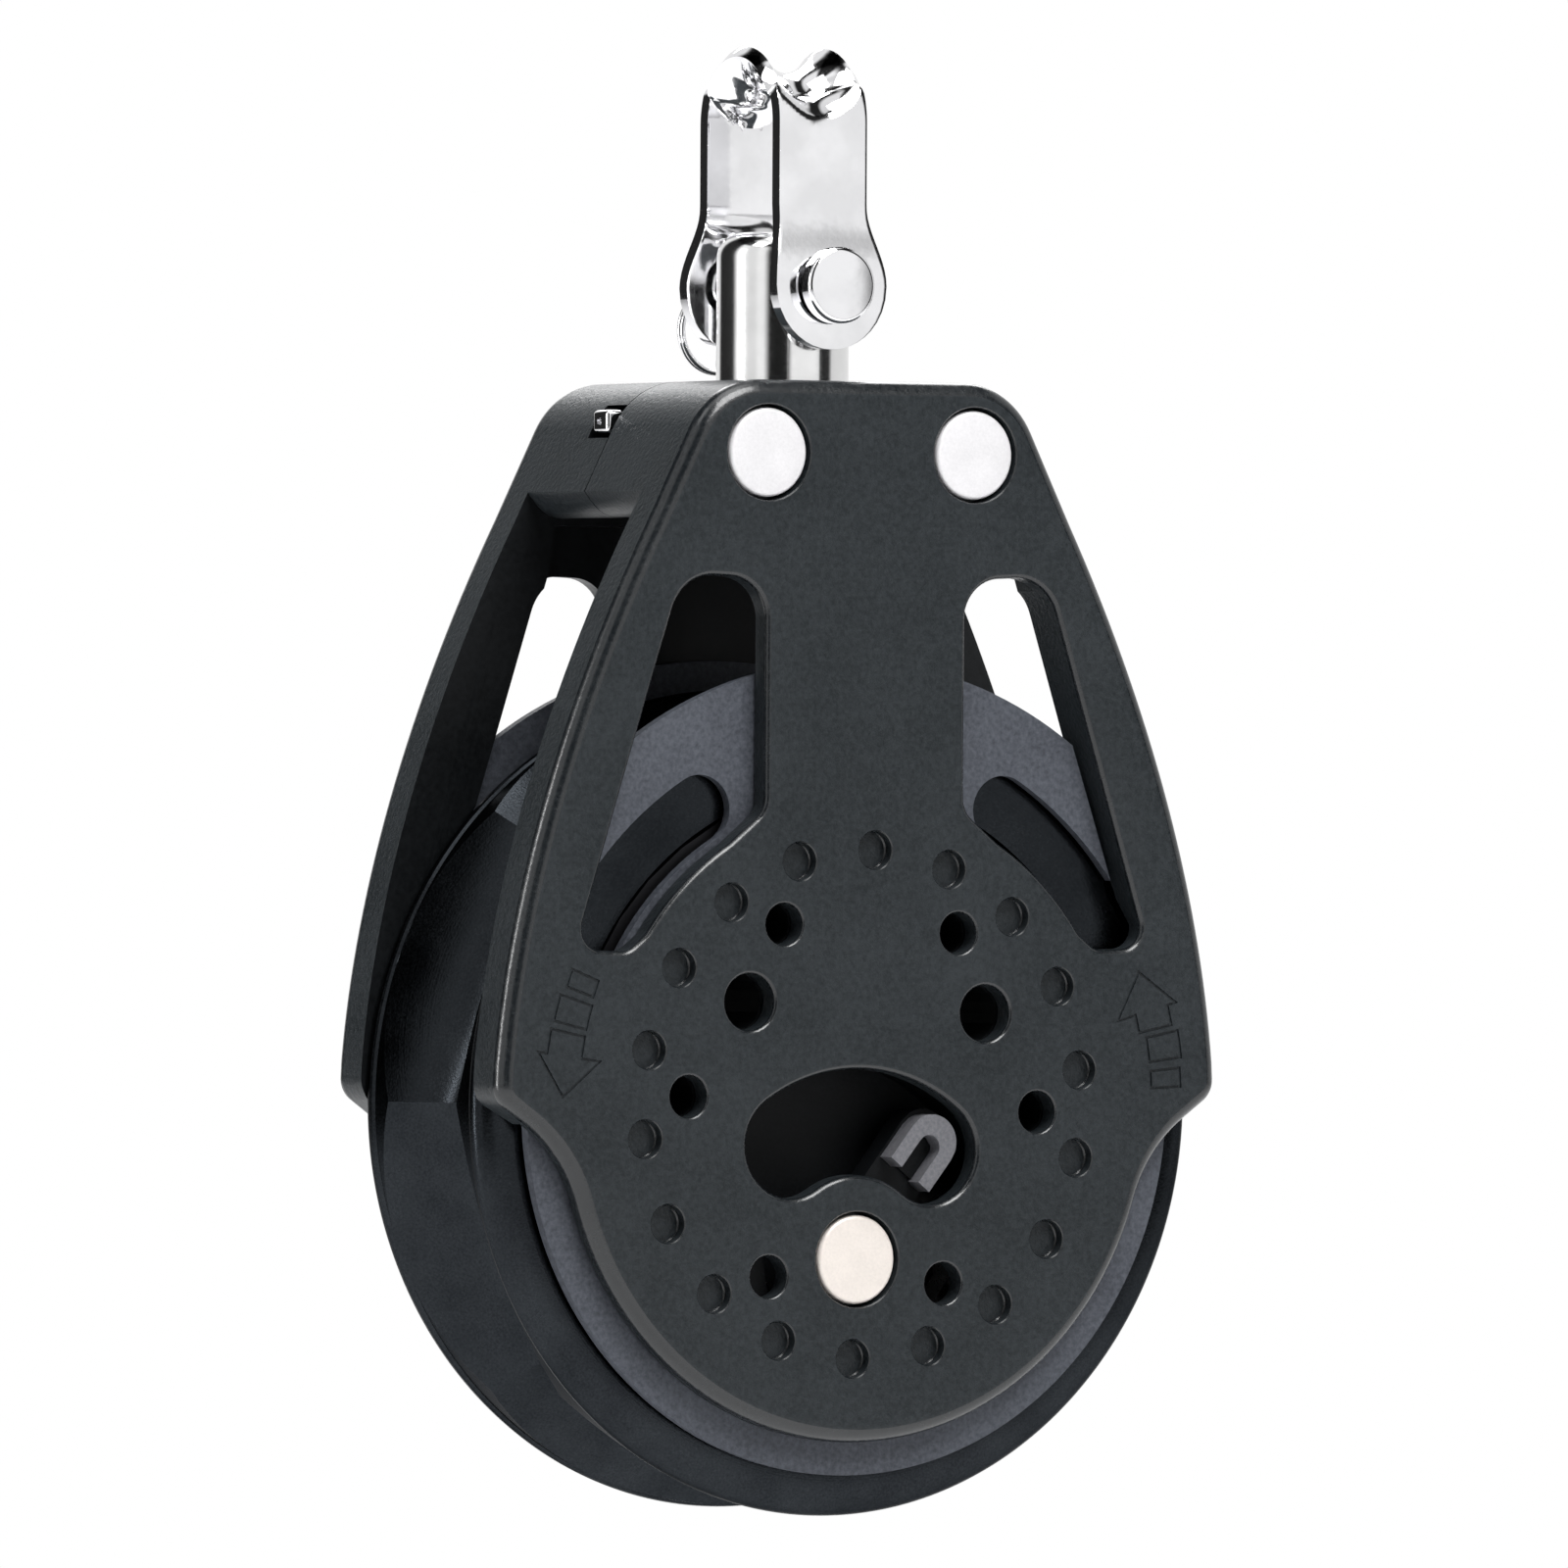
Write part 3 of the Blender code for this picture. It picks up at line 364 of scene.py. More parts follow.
def slot_outline():
    """Slot round the switch lever's pivot."""
    spread = math.radians(SLOT_ANGLE)
    px, pz = LOW_RIVET
    right = (px + SLOT_RING * math.sin(spread), pz + SLOT_RING * math.cos(spread))
    points = arc(SLOT_RING + SLOT_HALF, 90 - SLOT_ANGLE, 90 + SLOT_ANGLE, 28, LOW_RIVET)
    points += arc(SLOT_HALF, 90 + SLOT_ANGLE, 270 + SLOT_ANGLE, 20, (-right[0], right[1]))[1:]
    points += arc(SLOT_RING - SLOT_HALF, 90 + SLOT_ANGLE, 90 - SLOT_ANGLE, 18, LOW_RIVET)[1:]
    points += arc(SLOT_HALF, -90 - SLOT_ANGLE, 90 - SLOT_ANGLE, 20, right)[1:-1]
    return [on_hub(x, z) for x, z in points]


def ring_of_places(radius, count, first):
    return [on_hub(*polar(radius, first + i * 360 / count)) for i in range(count)]


# ---------------------------------------------------------------- meshes

def clean(edit):
    """Welds an evaluated outline and evens out the triangles of its flat faces."""
    bmesh.ops.remove_doubles(edit, verts=edit.verts, dist=1e-6)
    flat = [e for e in edit.edges if e.calc_face_angle(1) < 1e-4]
    bmesh.ops.beautify_fill(edit, faces=edit.faces, edges=flat, method="ANGLE")


def evaluated_mesh(obj):
    """Evaluated mesh of a modelling object, which is then removed."""
    bpy.context.scene.collection.objects.link(obj)
    bpy.context.view_layer.update()
    shown = obj.evaluated_get(bpy.context.evaluated_depsgraph_get())
    mesh = bpy.data.meshes.new_from_object(shown)
    mesh.transform(obj.matrix_world)
    bpy.data.objects.remove(obj, do_unlink=True)
    return mesh


def edited(mesh, change):
    edit = bmesh.new()
    edit.from_mesh(mesh)
    change(edit)
    edit.to_mesh(mesh)
    edit.free()
    return mesh


def flat_solid(loops, low, high):
    """Plate between two Y levels; loops after the first are holes."""
    curve = bpy.data.curves.new("outline", "CURVE")
    curve.dimensions = "2D"
    curve.fill_mode = "BOTH"
    curve.extrude = (high - low) / 2 * MM
    for loop in loops:
        spline = curve.splines.new("POLY")
        spline.points.add(len(loop) - 1)
        for point, (x, z) in zip(spline.points, loop):
            point.co = (x * MM, z * MM, 0, 1)
        spline.use_cyclic_u = True
    obj = bpy.data.objects.new("outline", curve)
    obj.rotation_euler = (math.pi / 2, 0, 0)
    obj.location = (0, (low + high) / 2 * MM, 0)
    return edited(evaluated_mesh(obj), clean)


def turned(profile, segments, axis="Z", at=(0, 0, 0)):
    """Closed profile of (radius, height), listed down its outer side, turned about an axis."""
    edit = bmesh.new()
    rings = []
    for i in range(segments):
        a = math.tau * i / segments
        rings.append([edit.verts.new((r * math.cos(a), r * math.sin(a), h)) for r, h in profile])
    for i, ring in enumerate(rings):
        after = rings[(i + 1) % segments]
        for j in range(len(profile)):
            k = (j + 1) % len(profile)
            if profile[j][0] > 0 or profile[k][0] > 0:
                edit.faces.new((ring[j], ring[k], after[k], after[j]))
    bmesh.ops.remove_doubles(edit, verts=edit.verts, dist=1e-5)
    bmesh.ops.recalc_face_normals(edit, faces=edit.faces)
    turn = Matrix.Rotation(-math.pi / 2, 4, "X") if axis == "Y" else Matrix.Identity(4)
    edit.transform(Matrix.Scale(MM, 4) @ Matrix.Translation(Vector(at)) @ turn)
    mesh = bpy.data.meshes.new("turned")
    edit.to_mesh(mesh)
    edit.free()
    return mesh


def rod(radius, low, high, at=(0, 0, 0), axis="Y", segments=40):
    """Round bar between two levels along Y or X."""
    mesh = turned([(0, high), (radius, high), (radius, low), (0, low)], segments)
    turns = {"Y": Matrix.Rotation(-math.pi / 2, 4, "X"), "X": Matrix.Rotation(math.pi / 2, 4, "Y")}
    turn = turns[axis]
    mesh.transform(Matrix.Translation(Vector(at) * MM) @ turn)
    return mesh


def box(low, high):
    def shape(edit):
        bmesh.ops.create_cube(edit, size=1.0)
        for vert in edit.verts:
            vert.co = Vector([(lo + (c + 0.5) * (hi - lo)) * MM for c, lo, hi in zip(vert.co, low, high)])
    return edited(bpy.data.meshes.new("box"), shape)


def joined(meshes):
    edit = bmesh.new()
    for mesh in meshes:
        edit.from_mesh(mesh)
    mesh = bpy.data.meshes.new("joined")
    edit.to_mesh(mesh)
    edit.free()
    return mesh


def cut(mesh, cutters):
    """The mesh with each cutter taken away in turn."""
    for cutter_mesh in cutters:
        cutter = bpy.data.objects.new("cutter", cutter_mesh)
        bpy.context.scene.collection.objects.link(cutter)
        body = bpy.data.objects.new("body", mesh)
        modifier = body.modifiers.new("cut", "BOOLEAN")
        modifier.operation = "DIFFERENCE"
        modifier.object = cutter
        mesh = evaluated_mesh(body)
        bpy.data.objects.remove(cutter, do_unlink=True)
    return mesh


def round_edges(mesh, width, segments, wanted=lambda place: True):
    """Rounds the edges sharper than 50 degrees whose ends are at wanted places."""
    def change(edit):
        chosen = [e for e in edit.edges if len(e.link_faces) == 2
                  and all(wanted(v.co / MM) for v in e.verts)
                  and e.calc_face_angle(0) > math.radians(50)]
        bmesh.ops.bevel(edit, geom=chosen, offset=width * MM, segments=segments, profile=0.5,
                        affect="EDGES", clamp_overlap=True)
    return edited(mesh, change)


def show(name, mesh, finishes, body, replaced, at=(0, 0, 0), crease=35):
    """Adds a finished piece, placed from the sheave's centre, that stands for its CAD node."""
    piece = bpy.data.objects.new(name, mesh)
    bpy.context.scene.collection.objects.link(piece)
    mesh.transform(Matrix.Translation(CENTRE + Vector(at) * MM))
    indices = [polygon.material_index for polygon in mesh.polygons]
    mesh.materials.clear()
    for finish in finishes:
        mesh.materials.append(MATERIALS[finish])
    mesh.polygons.foreach_set("material_index", [min(i, len(finishes) - 1) for i in indices])
    mesh.shade_smooth()
    mesh.set_sharp_from_angle(angle=math.radians(crease))
    weighted = piece.modifiers.new("flat_faces", "WEIGHTED_NORMAL")
    weighted.keep_sharp = True
    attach(piece, body)
    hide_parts(replaced)
    return piece


# ---------------------------------------------------------------- cheeks

def on_side(side, depth_low, depth_high):
    """Y levels of a cutter at two distances from the middle plane, on one side of it."""
    return sorted((side * depth_low, side * depth_high))


def recess(radius, side, floor, place, lip=0.09):
    """Cutter of a blind round recess with a softened lip and floor edge."""
    profile = [(0, CHEEK_OUT + PAST), (radius + lip, CHEEK_OUT + PAST), (radius + lip, CHEEK_OUT + 0.02),
               (radius, CHEEK_OUT - lip), (radius, floor + lip), (radius - lip, floor), (0, floor)]
    if side < 0:
        profile = [(r, -h) for r, h in reversed(profile)]
    return turned(profile, 36, "Y", (place[0], 0, place[1]))


def arrow_marks():
    """Closed outlines of the two rotation arrows, in polar places round the sheave's centre."""
    def patch(inner, outer, start, end):
        return arc(outer, start, end, 4) + arc(inner, end, start, 4)

    def head(tip, base, neck_end):
        neck_in, neck_out, wing_in, wing_out, middle = 22.7, 25.4, 21.2, 26.1, 23.9
        points = [polar(neck_in, neck_end), polar(neck_in, base), polar(wing_in, base), polar(middle, tip),
                  polar(wing_out, base), polar(neck_out, base), polar(neck_out, neck_end)]
        return list(reversed(points)) if tip > base else points

    marks = [head(178.4, 171.7, 167.9), patch(22.7, 25.3, 162.4, 166.6), patch(22.8, 25.0, 158.0, 160.9)]
    marks += [head(22.2, 15.4, 12.2), patch(23.2, 25.8, 6.9, 11.1), patch(23.2, 25.6, 2.4, 5.3)]
    return marks


def line_ring(loop, width, depth):
    """Cutter of a shallow channel along a closed line on the front face."""
    edges = [offset(loop, -width / 2), offset(loop, width / 2)]
    return flat_solid(edges, -CHEEK_OUT - PAST, -CHEEK_OUT + depth)


def area(loop):
    return sum(a[0] * b[1] - b[0] * a[1] for a, b in zip(loop, loop[1:] + loop[:1])) / 2


def counter_clockwise(loop):
    return loop if area(loop) > 0 else list(reversed(loop))


def rounding(radius, steps, sense=1):
    """Insets and levels of an edge rounded over to the outer face; sense -1 opens it out."""
    turns = [math.pi / 2 * i / steps for i in range(steps + 1)]
    return [(sense * radius * (1 - math.cos(a)), CHEEK_OUT - radius * (1 - math.sin(a))) for a in turns]


def lofted(loop, side, levels):
    """Solid through one outline at several insets and distances from the middle plane."""
    loop = counter_clockwise(loop)
    edit = bmesh.new()
    rings = []
    for inset, depth in levels:
        outline = offset(loop, inset) if inset else loop
        rings.append([edit.verts.new((x * MM, side * depth * MM, z * MM)) for x, z in outline])
    for low, high in zip(rings, rings[1:]):
        for i, vert in enumerate(low):
            edit.faces.new((low[i - 1], vert, high[i], high[i - 1]))
    ends = [edit.faces.new(rings[0]), edit.faces.new(rings[-1])]
    bmesh.ops.triangulate(edit, faces=ends)
    bmesh.ops.recalc_face_normals(edit, faces=edit.faces)
    mesh = bpy.data.meshes.new("lofted")
    edit.to_mesh(mesh)
    edit.free()
    return mesh


def openings_cutter(side):
    """All that goes through a cheek: windows, holes and, in front, the switch slot."""
    window = window_outline()
    loops = [(window, HOLE_ROUND), (mirrored(window), HOLE_ROUND)]
    loops += [(circle(SMALL_R, place, 24), SMALL_ROUND)
              for place in ring_of_places(SMALL_RING, SMALL_HOLES, 0)]
    loops += [(circle(LARGE_R, on_hub(x, LARGE_PLACE[1]), 30), LARGE_ROUND)
              for x in (-LARGE_PLACE[0], LARGE_PLACE[0])]
    if side < 0:
        loops.append((slot_outline(), HOLE_ROUND))
    return joined([lofted(loop, side, [(0, 5)] + rounding(lip, 5, -1) + [(-lip, CHEEK_OUT + PAST)])
                   for loop, lip in loops])


def throat_cutter(side):
    """Room for the rope between the cheeks, under the head's arched underside."""
    corner = [(40, THROAT_Z + 2.9)] + bezier((17.2, THROAT_Z + 2.9), (15.6, THROAT_Z + 0.9),
                                            (15.0, THROAT_Z - 0.9), (13.0, THROAT_Z - 0.9), 10)
    arch = corner + bezier((11, THROAT_Z - 0.2), (5, THROAT_Z + 0.7), (-5, THROAT_Z + 0.7),
                           (-11, THROAT_Z - 0.2), 24)
    arch += mirrored(corner) + [(-40, -40), (40, -40)]
    return flat_solid([arch], *on_side(side, -PAST, SKIRT_IN))


def pocket_cutter(side):
    """Hollow behind the cheek's face, which leaves its skirt along the arms."""
    (top_x, top_z), (low_x, low_z) = WINDOW_TOP, WINDOW_LOW
    along = low_x - (16 - low_z) * (low_x - top_x) / (top_z - low_z)
    half = [(26.3, -40), (26.3, 1), (25.6, 5), (24.2, 10), (along - 0.5, 16), (top_x - 0.5, top_z)]
    half.append((13.6, THROAT_Z - 1.4))
    return flat_solid([half + mirrored(half)], *on_side(side, SKIRT_IN - PAST, CHEEK_IN))


def wheel_cutter(side):
    """Room for the turning sheave."""
    radius = SHEAVE_R + WHEEL_ROOM
    room = [(0, -PAST), (radius, -PAST), (radius, 7.6), (27.3, 8.5), (26.1, 9.2), (0, 9.2)]
    if side > 0:
        room = [(r, h) for r, h in reversed(room)]
    else:
        room = [(r, -h) for r, h in room]
    return turned(room, 150, "Y")


def post_cutter():
    """Bore for the headpost, with the wider cavity for its flange and washers."""
    narrow, above = POST_R + CLEAR, HEAD_TOP + 2
    return turned([(0, above), (narrow, above), (narrow, CAVITY_HIGH), (CAVITY_R, CAVITY_HIGH),
                   (CAVITY_R, CAVITY_LOW), (0, CAVITY_LOW)], 64)


def recess_cutter(side):
    """The ring of dimples and the seats of the three rivet heads."""
    floor = CHEEK_OUT - DIMPLE_DEPTH
    seat = CHEEK_OUT - RIVET_HEAD_T - CLEAR - 0.1
    marks = [recess(DIMPLE_R, side, floor, place) for place in ring_of_places(DIMPLE_RING, DIMPLES, 10)]
    marks += [recess(RIVET_HEAD_R + RECESS_GAP, side, seat, place, 0.1)
              for place in (on_hub(*LOW_RIVET),) + TOP_RIVETS]
    return joined(marks)


def shank_cutter():
    shanks = [(LOW_SHANK_R, *on_hub(*LOW_RIVET))] + [(TOP_SHANK_R, x, z) for x, z in TOP_RIVETS]
    return joined([rod(radius + CLEAR, -20, 20, (x, 0, z), segments=31) for radius, x, z in shanks])


def cheek_mesh(side):
    """One cheek with its half of the head; side -1 is the front one, with the switch."""
    mesh = lofted(cheek_outline(), side, [(0, PARTING)] + rounding(EDGE_ROUND, 8))
    cutters = [openings_cutter(side), throat_cutter(side), pocket_cutter(side), wheel_cutter(side),
               recess_cutter(side), shank_cutter(), post_cutter()]
    if side < 0:
        cutters.append(joined([line_ring(counter_clockwise(loop), ARROW_LINE, ARROW_DEPTH)
                               for loop in arrow_marks()]))
    else:
        clip_seat = box((-20, -0.5, 45.8), (-9.8, 2.85, 48.1))
        cutters.append(clip_seat)
    return cut(mesh, cutters)


def make_cheeks():
    """Both cheeks: grained outside, smoother and glossier on their rounded edges, plain inside; the edges'
    darker colour and the near-black inside are painted shade.
    """
    for name, side in (("front_cheek", -1), ("rear_cheek", 1)):
        mesh = cheek_mesh(side)
        for polygon in mesh.polygons:
            outward = side * polygon.normal.y
            # Inward faces take the near-black plastic and rounded edges the darker glossy one: both colours
            # are painted shade.
            polygon.material_index = 1 if outward < -0.2 else 2 if 0.05 < outward < 0.97 else 0
        show(name + "_shell", mesh, ["black_plastic", "shaded_inner_plastic", "glossy_shaded_edge_plastic"], "block", name,
             crease=28)


def make_liners():
    """Two plates, each a ring round the hub with a long opening on either side of the web."""
    inner, outer, top = 21.2, 26.0, 59
    low_edge, high_edge, hub_hole = 25.6, 30.5, 16.1
    end = polar((inner + outer) / 2, top)
    half = arc(low_edge, -90, 21, 60) + arc(inner, 25, top, 16)
    half += arc((outer - inner) / 2, top + 180, top, 18, end)[1:-1]
    half += arc(outer, top, 36.2, 12) + arc(high_edge, 54.3, 90, 18)
    loops = [half + mirrored(half)[1:-1], circle(hub_hole, (0, 0), 90)]
    for name, side in (("front_liner", -1), ("rear_liner", 1)):
        mesh = flat_solid(loops, *on_side(side, 9.0, 9.8))
        round_edges(mesh, 0.14, 2)
        show(name + "_plate", mesh, ["liner_plastic"], "block", name, crease=40)


# ---------------------------------------------------------------- sheave

def make_sheave():
    """Grooved wheel whose groove is eight flat-bottomed faces that run out into the rims."""
    flat, sides, groove_steps, flare = 23.2, 8, 16, 1.7
    bore, race, edge_y = 20.6, 1.85, 6.6
    rim = SHEAVE_R - 0.2

    def flange(sign):
        shoulder = bezier((25.4, 8.7), (27.3, 8.7), (SHEAVE_R - 0.05, 8.1), (SHEAVE_R, 7.05), 14)
        return [(bore + 0.5, sign * 8.7)] + [(r, sign * y) for r, y in shoulder] + \
            [(SHEAVE_R - 0.05, sign * 6.8), (rim, sign * edge_y)]

    def swept_in(y):
        return flat + (rim - flat) * (abs(y) / edge_y) ** flare

    levels = [edge_y * (1 - i / groove_steps) * 0.999 for i in range(groove_steps * 2 + 1)]
    groove = [(swept_in(y), y) for y in levels]
    ball_race = [(r, h) for r, h in arc(race, -57.3, 57.3, 10, (19.6, 0)) if r > bore]
    front = [(r, h) for r, h in reversed(flange(-1)) if r > 22.0]
    seat = [(22.0, -8.7), (22.0, -5.4), (bore, -5.4)]
    mesh = turned(flange(1) + groove + front + seat + ball_race + [(bore, 8.2)], 288, "Y")
    step = math.tau / sides
    for vert in mesh.vertices:
        x, y, z = vert.co / MM
        r = math.hypot(x, z)
        if abs(y) < edge_y - 0.003 and r > 22.6:
            lean = math.cos((math.atan2(z, x) % step) - step / 2)
            end = edge_y * min(((rim * lean - flat) / (rim - flat)) ** (1 / flare), 1)
            y *= end / edge_y
            scale = min(swept_in(y) / lean, rim) / r
            vert.co = Vector((x * scale, y, z * scale)) * MM
    show("sheave_wheel", mesh, ["anodised"], "sheave", "sheave", crease=16)


# ---------------------------------------------------------------- switch and rivets

def make_switch():
    """Thumb lever: an arm behind the slot, near-black as painted shade in the slot, with a grey U-shaped
    thumb piece at its end.
    """
    arm_front, arm_back, tab_front, tab_back = -9.5, -7.6, -11.0, -9.3
    lean = math.radians(-SLOT_ANGLE) + HUB_TURN
    px, pz = on_hub(*LOW_RIVET)

    def leaned(points):
        c, s = math.cos(lean), math.sin(lean)
        return [(x * c - z * s, x * s + z * c) for x, z in points]

    arm = arc(3.4, 200, 340, 28) + [(2.1, 5.0), (2.15, 10.4)]
    arm += arc(2.15, 20, 160, 18, (0, 10.4)) + [(-2.15, 10.4), (-2.1, 5.0)]
    body = flat_solid([leaned(arm), circle(LOW_SHANK_R + CLEAR, (0, 0), 36)], arm_front, arm_back)
    round_edges(body, 0.2, 2, lambda place: place.y < arm_front + 0.1)
    tab = [(-1.95, 7.4), (-0.85, 7.4), (-0.85, 9.7)] + arc(0.85, 160, 20, 10, (0, 9.8)) + [(0.85, 9.7)]
    tab += [(0.85, 7.4), (1.95, 7.4), (1.95, 10.2)] + arc(1.95, 20, 160, 18, (0, 10.2)) + [(-1.95, 10.2)]
    thumb = flat_solid([list(reversed(leaned(tab)))], tab_front, tab_back)
    round_edges(thumb, 0.22, 3, lambda place: place.y < tab_front + 0.1)
    for polygon in thumb.polygons:
        polygon.material_index = 1
    web = flat_solid([leaned([(-0.9, 7.6), (0.9, 7.6), (0.9, 10.4), (-0.9, 10.4)])], -9.75, -9.35)
    mesh = joined([body, thumb, web])
    show("switch_thumb_lever", mesh, ["shaded_arm_plastic", "switch_plastic"], "switch_lever", "switch_lever",
         (px, 0, pz))


def make_rivets():
    """Flush heads with a rolled rim and a faint hollow in the middle."""
    top = CHEEK_OUT - RIVET_SUNK
    under = top - RIVET_HEAD_T
    roll = 0.3
    places = {"lower_rivet": (*on_hub(*LOW_RIVET), LOW_SHANK_R, "warm_rivet"),
              "top_rivet_left": (*TOP_RIVETS[0], TOP_SHANK_R, "bright_rivet"),
              "top_rivet_right": (*TOP_RIVETS[1], TOP_SHANK_R, "bright_rivet")}
    for name, (x, z, shank, finish) in places.items():
        flat_r = RIVET_HEAD_R - roll
        crown = [(0, top - 0.02), (1.2, top - 0.005), (2.2, top), (flat_r, top - 0.02)]
        rim = [(flat_r + u, top - 0.02 - roll + v) for u, v in arc(roll, 80, 0, 5)]
        half = crown + rim + [(RIVET_HEAD_R, under), (shank + 0.15, under), (shank, under - 0.15)]
        profile = half + [(r, -h) for r, h in reversed(half)]
        show(name + "_set", turned(profile, 72, "Y"), [finish], "block", name, (x, 0, z), 40)


# ---------------------------------------------------------------- head fitting

def make_headpost():
    """Round post with a flange in the head, a soft top edge and the cross bore for the pin."""
    soft, flange_r, foot_r, foot_z = 1.7, 5.8, 3.4, CAVITY_LOW + CLEAR
    flange_low, flange_high = 44.6, 46.4
    top_edge = [(POST_R - soft + x, POST_TOP - soft + z) for x, z in arc(soft, 90, 0, 10)]
    profile = [(0, POST_TOP)] + top_edge + [(POST_R, flange_high), (flange_r, flange_high)]
    profile += [(flange_r, flange_low), (foot_r, flange_low), (foot_r, foot_z), (0, foot_z)]
    mesh = cut(turned(profile, 96), [rod(PIN_R + CLEAR, -10, 10, (0, 0, PIN_Z))])
    show("headpost_turned", mesh, ["turned_steel"], "headpost", "headpost", crease=40)


def make_clip():
    """Visible end of the swivel's lock, with a small round mark in its face."""
    mesh = box((-1.75, -1.05, -0.8), (1.75, 1.05, 0.8))
    round_edges(mesh, 0.32, 4)
    mesh = cut(mesh, [rod(0.3, -2.0, -1.3, (0, 0.1, 0), axis="X", segments=24)])
    show("swivel_lock_wire", mesh, ["polished_steel"], "block", "swivel_lock_clip",
         (-11.95, 1.5, 46.95))


def make_pin():
    """Headed clevis pin with a softened end, cross-drilled for the split ring."""
    soft = 0.35
    head = EAR_Y + STRAP_T / 2 + CLEAR + PIN_HEAD_T
    under = PIN_HEAD_T - head
    rim = [(PIN_HEAD_R - soft + u, soft - head - v) for u, v in arc(soft, 0, 90, 6)]
    profile = [(0, PIN_END), (PIN_R - soft, PIN_END), (PIN_R - 0.1, PIN_END - 0.12), (PIN_R, PIN_END - soft),
               (PIN_R, under), (PIN_HEAD_R - 0.1, under), (PIN_HEAD_R, under - 0.1)] + rim + [(0, -head)]
    mesh = cut(turned(profile, 72, "Y"), [rod(1.0, -5, 5, (0, RING_HOLE_Y, 0), axis="X", segments=32)])
    show("clevis_pin_turned", mesh, ["polished_steel"], "shackle", "clevis_pin",
         (0, 0, PIN_Z), 40)


def make_ring():
    """Split ring: two close turns of wire, whose ends lie flat against the turn beside them."""
    ring, hang, wire = 2.95, 0.15, 0.2
    turns, steps = 1.96, 118
    curve = bpy.data.curves.new("split_ring_wire", "CURVE")
    curve.dimensions = "3D"
    curve.bevel_depth = wire * MM
    curve.bevel_resolution = 3
    curve.use_fill_caps = True
    spline = curve.splines.new("POLY")
    spline.points.add(steps)
    for i, point in enumerate(spline.points):
        t = i / steps
        a = math.tau * turns * t + math.radians(200)
        side = (2 * min(max((t - 0.44) / 0.12, 0), 1) - 1) * wire * 0.98
        point.co = (side * MM, ring * math.cos(a) * MM, (ring * math.sin(a) - ring + hang) * MM, 1)
    obj = bpy.data.objects.new("ring", curve)
    obj.rotation_euler = (0, 0, math.pi / 2)
    show("split_ring_wire", evaluated_mesh(obj), ["polished_steel"], "split_ring", "split_ring",
         (0, RING_HOLE_Y, PIN_Z), 60)


def smooth_step(t):
    t = min(max(t, 0), 1)
    return t * t * (3 - 2 * t)


def make_shackle():
    """Bent strap: two eared legs and a bow whose section is a shallow channel."""
    leg_steps, bow_steps, across = 22, 64, 28
    waist_height, bend_height = 5.2, 5.8
    rise = BOW_Z - PIN_Z

    def half_width(height):
        if height <= 0:
            return math.sqrt(max(EAR_R ** 2 - height ** 2, 0.09))
        return EAR_R + (LEG_HALF - EAR_R) * smooth_step(height / waist_height)

    def off_plane(height):
        return EAR_Y + (LEG_Y - EAR_Y) * smooth_step(height / bend_height)

    ear = [-EAR_R * math.sin(math.radians(a)) for a in (86, 82, 77, 70, 62, 53, 44, 34, 23, 12)]
    up = ear + [rise * i / leg_steps for i in range(leg_steps)]
    path = [(-off_plane(h), h, half_width(h), 0.0) for h in up]
    for i in range(bow_steps + 1):
        a = math.pi * i / bow_steps
        path.append((-LEG_Y * math.cos(a), rise + LEG_Y * math.sin(a), LEG_HALF,
                     BOW_SAG * min(min(a, math.pi - a) / BOW_RUN_OUT, 1)))
    path += [(off_plane(h), h, half_width(h), 0.0) for h in reversed(up)]
    edit = bmesh.new()
    bmesh.ops.create_grid(edit, x_segments=across, y_segments=len(path) - 1, size=1.0)
    for vert in edit.verts:
        u = vert.co.x
        y, z, half, sag = path[round((vert.co.y + 1) / 2 * (len(path) - 1))]
        inward = Vector((0, -y, -max(z - rise, 0))).normalized()
        vert.co = (Vector((u * half, y, z)) + inward * max(sag - BOW_SAG * u * u, 0)) * MM
    mesh = bpy.data.meshes.new("strap")
    edit.to_mesh(mesh)
    edit.free()
    strap = bpy.data.objects.new("strap", mesh)
    solidify = strap.modifiers.new("thickness", "SOLIDIFY")
    solidify.thickness = STRAP_T * MM
    solidify.offset = 0
    mesh = cut(evaluated_mesh(strap), [rod(PIN_R + CLEAR, -10, 10)])
    round_edges(mesh, 0.16, 3)
    show("shackle_strap", mesh, ["polished_steel"], "shackle", "shackle",
         (0, 0, PIN_Z), 50)


# ---------------------------------------------------------------- carried-over nodes

def finish_nodes():
    """Finishes of the CAD nodes that stay: the hub core, bearing, ratchet, springs and washers."""
    # The hub core takes the near-black shaded plastic: painted shade.
    finishes = {"hub_core": "shaded_arm_plastic", "ratchet_ring": "blackened_steel", "pawl": "satin_steel",
                "pawl_pin": "satin_steel", "pawl_spring": "spring_steel", "detent_spring": "spring_steel",
                "upper_washer": "acetal", "lower_washer": "acetal"}
    finishes.update({name: "acetal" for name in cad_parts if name.startswith("bearing_ball")})
    for name, finish in finishes.items():
        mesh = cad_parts[name].data
        mesh.materials.clear()
        mesh.materials.append(MATERIALS[finish])


# ---------------------------------------------------------------- studio

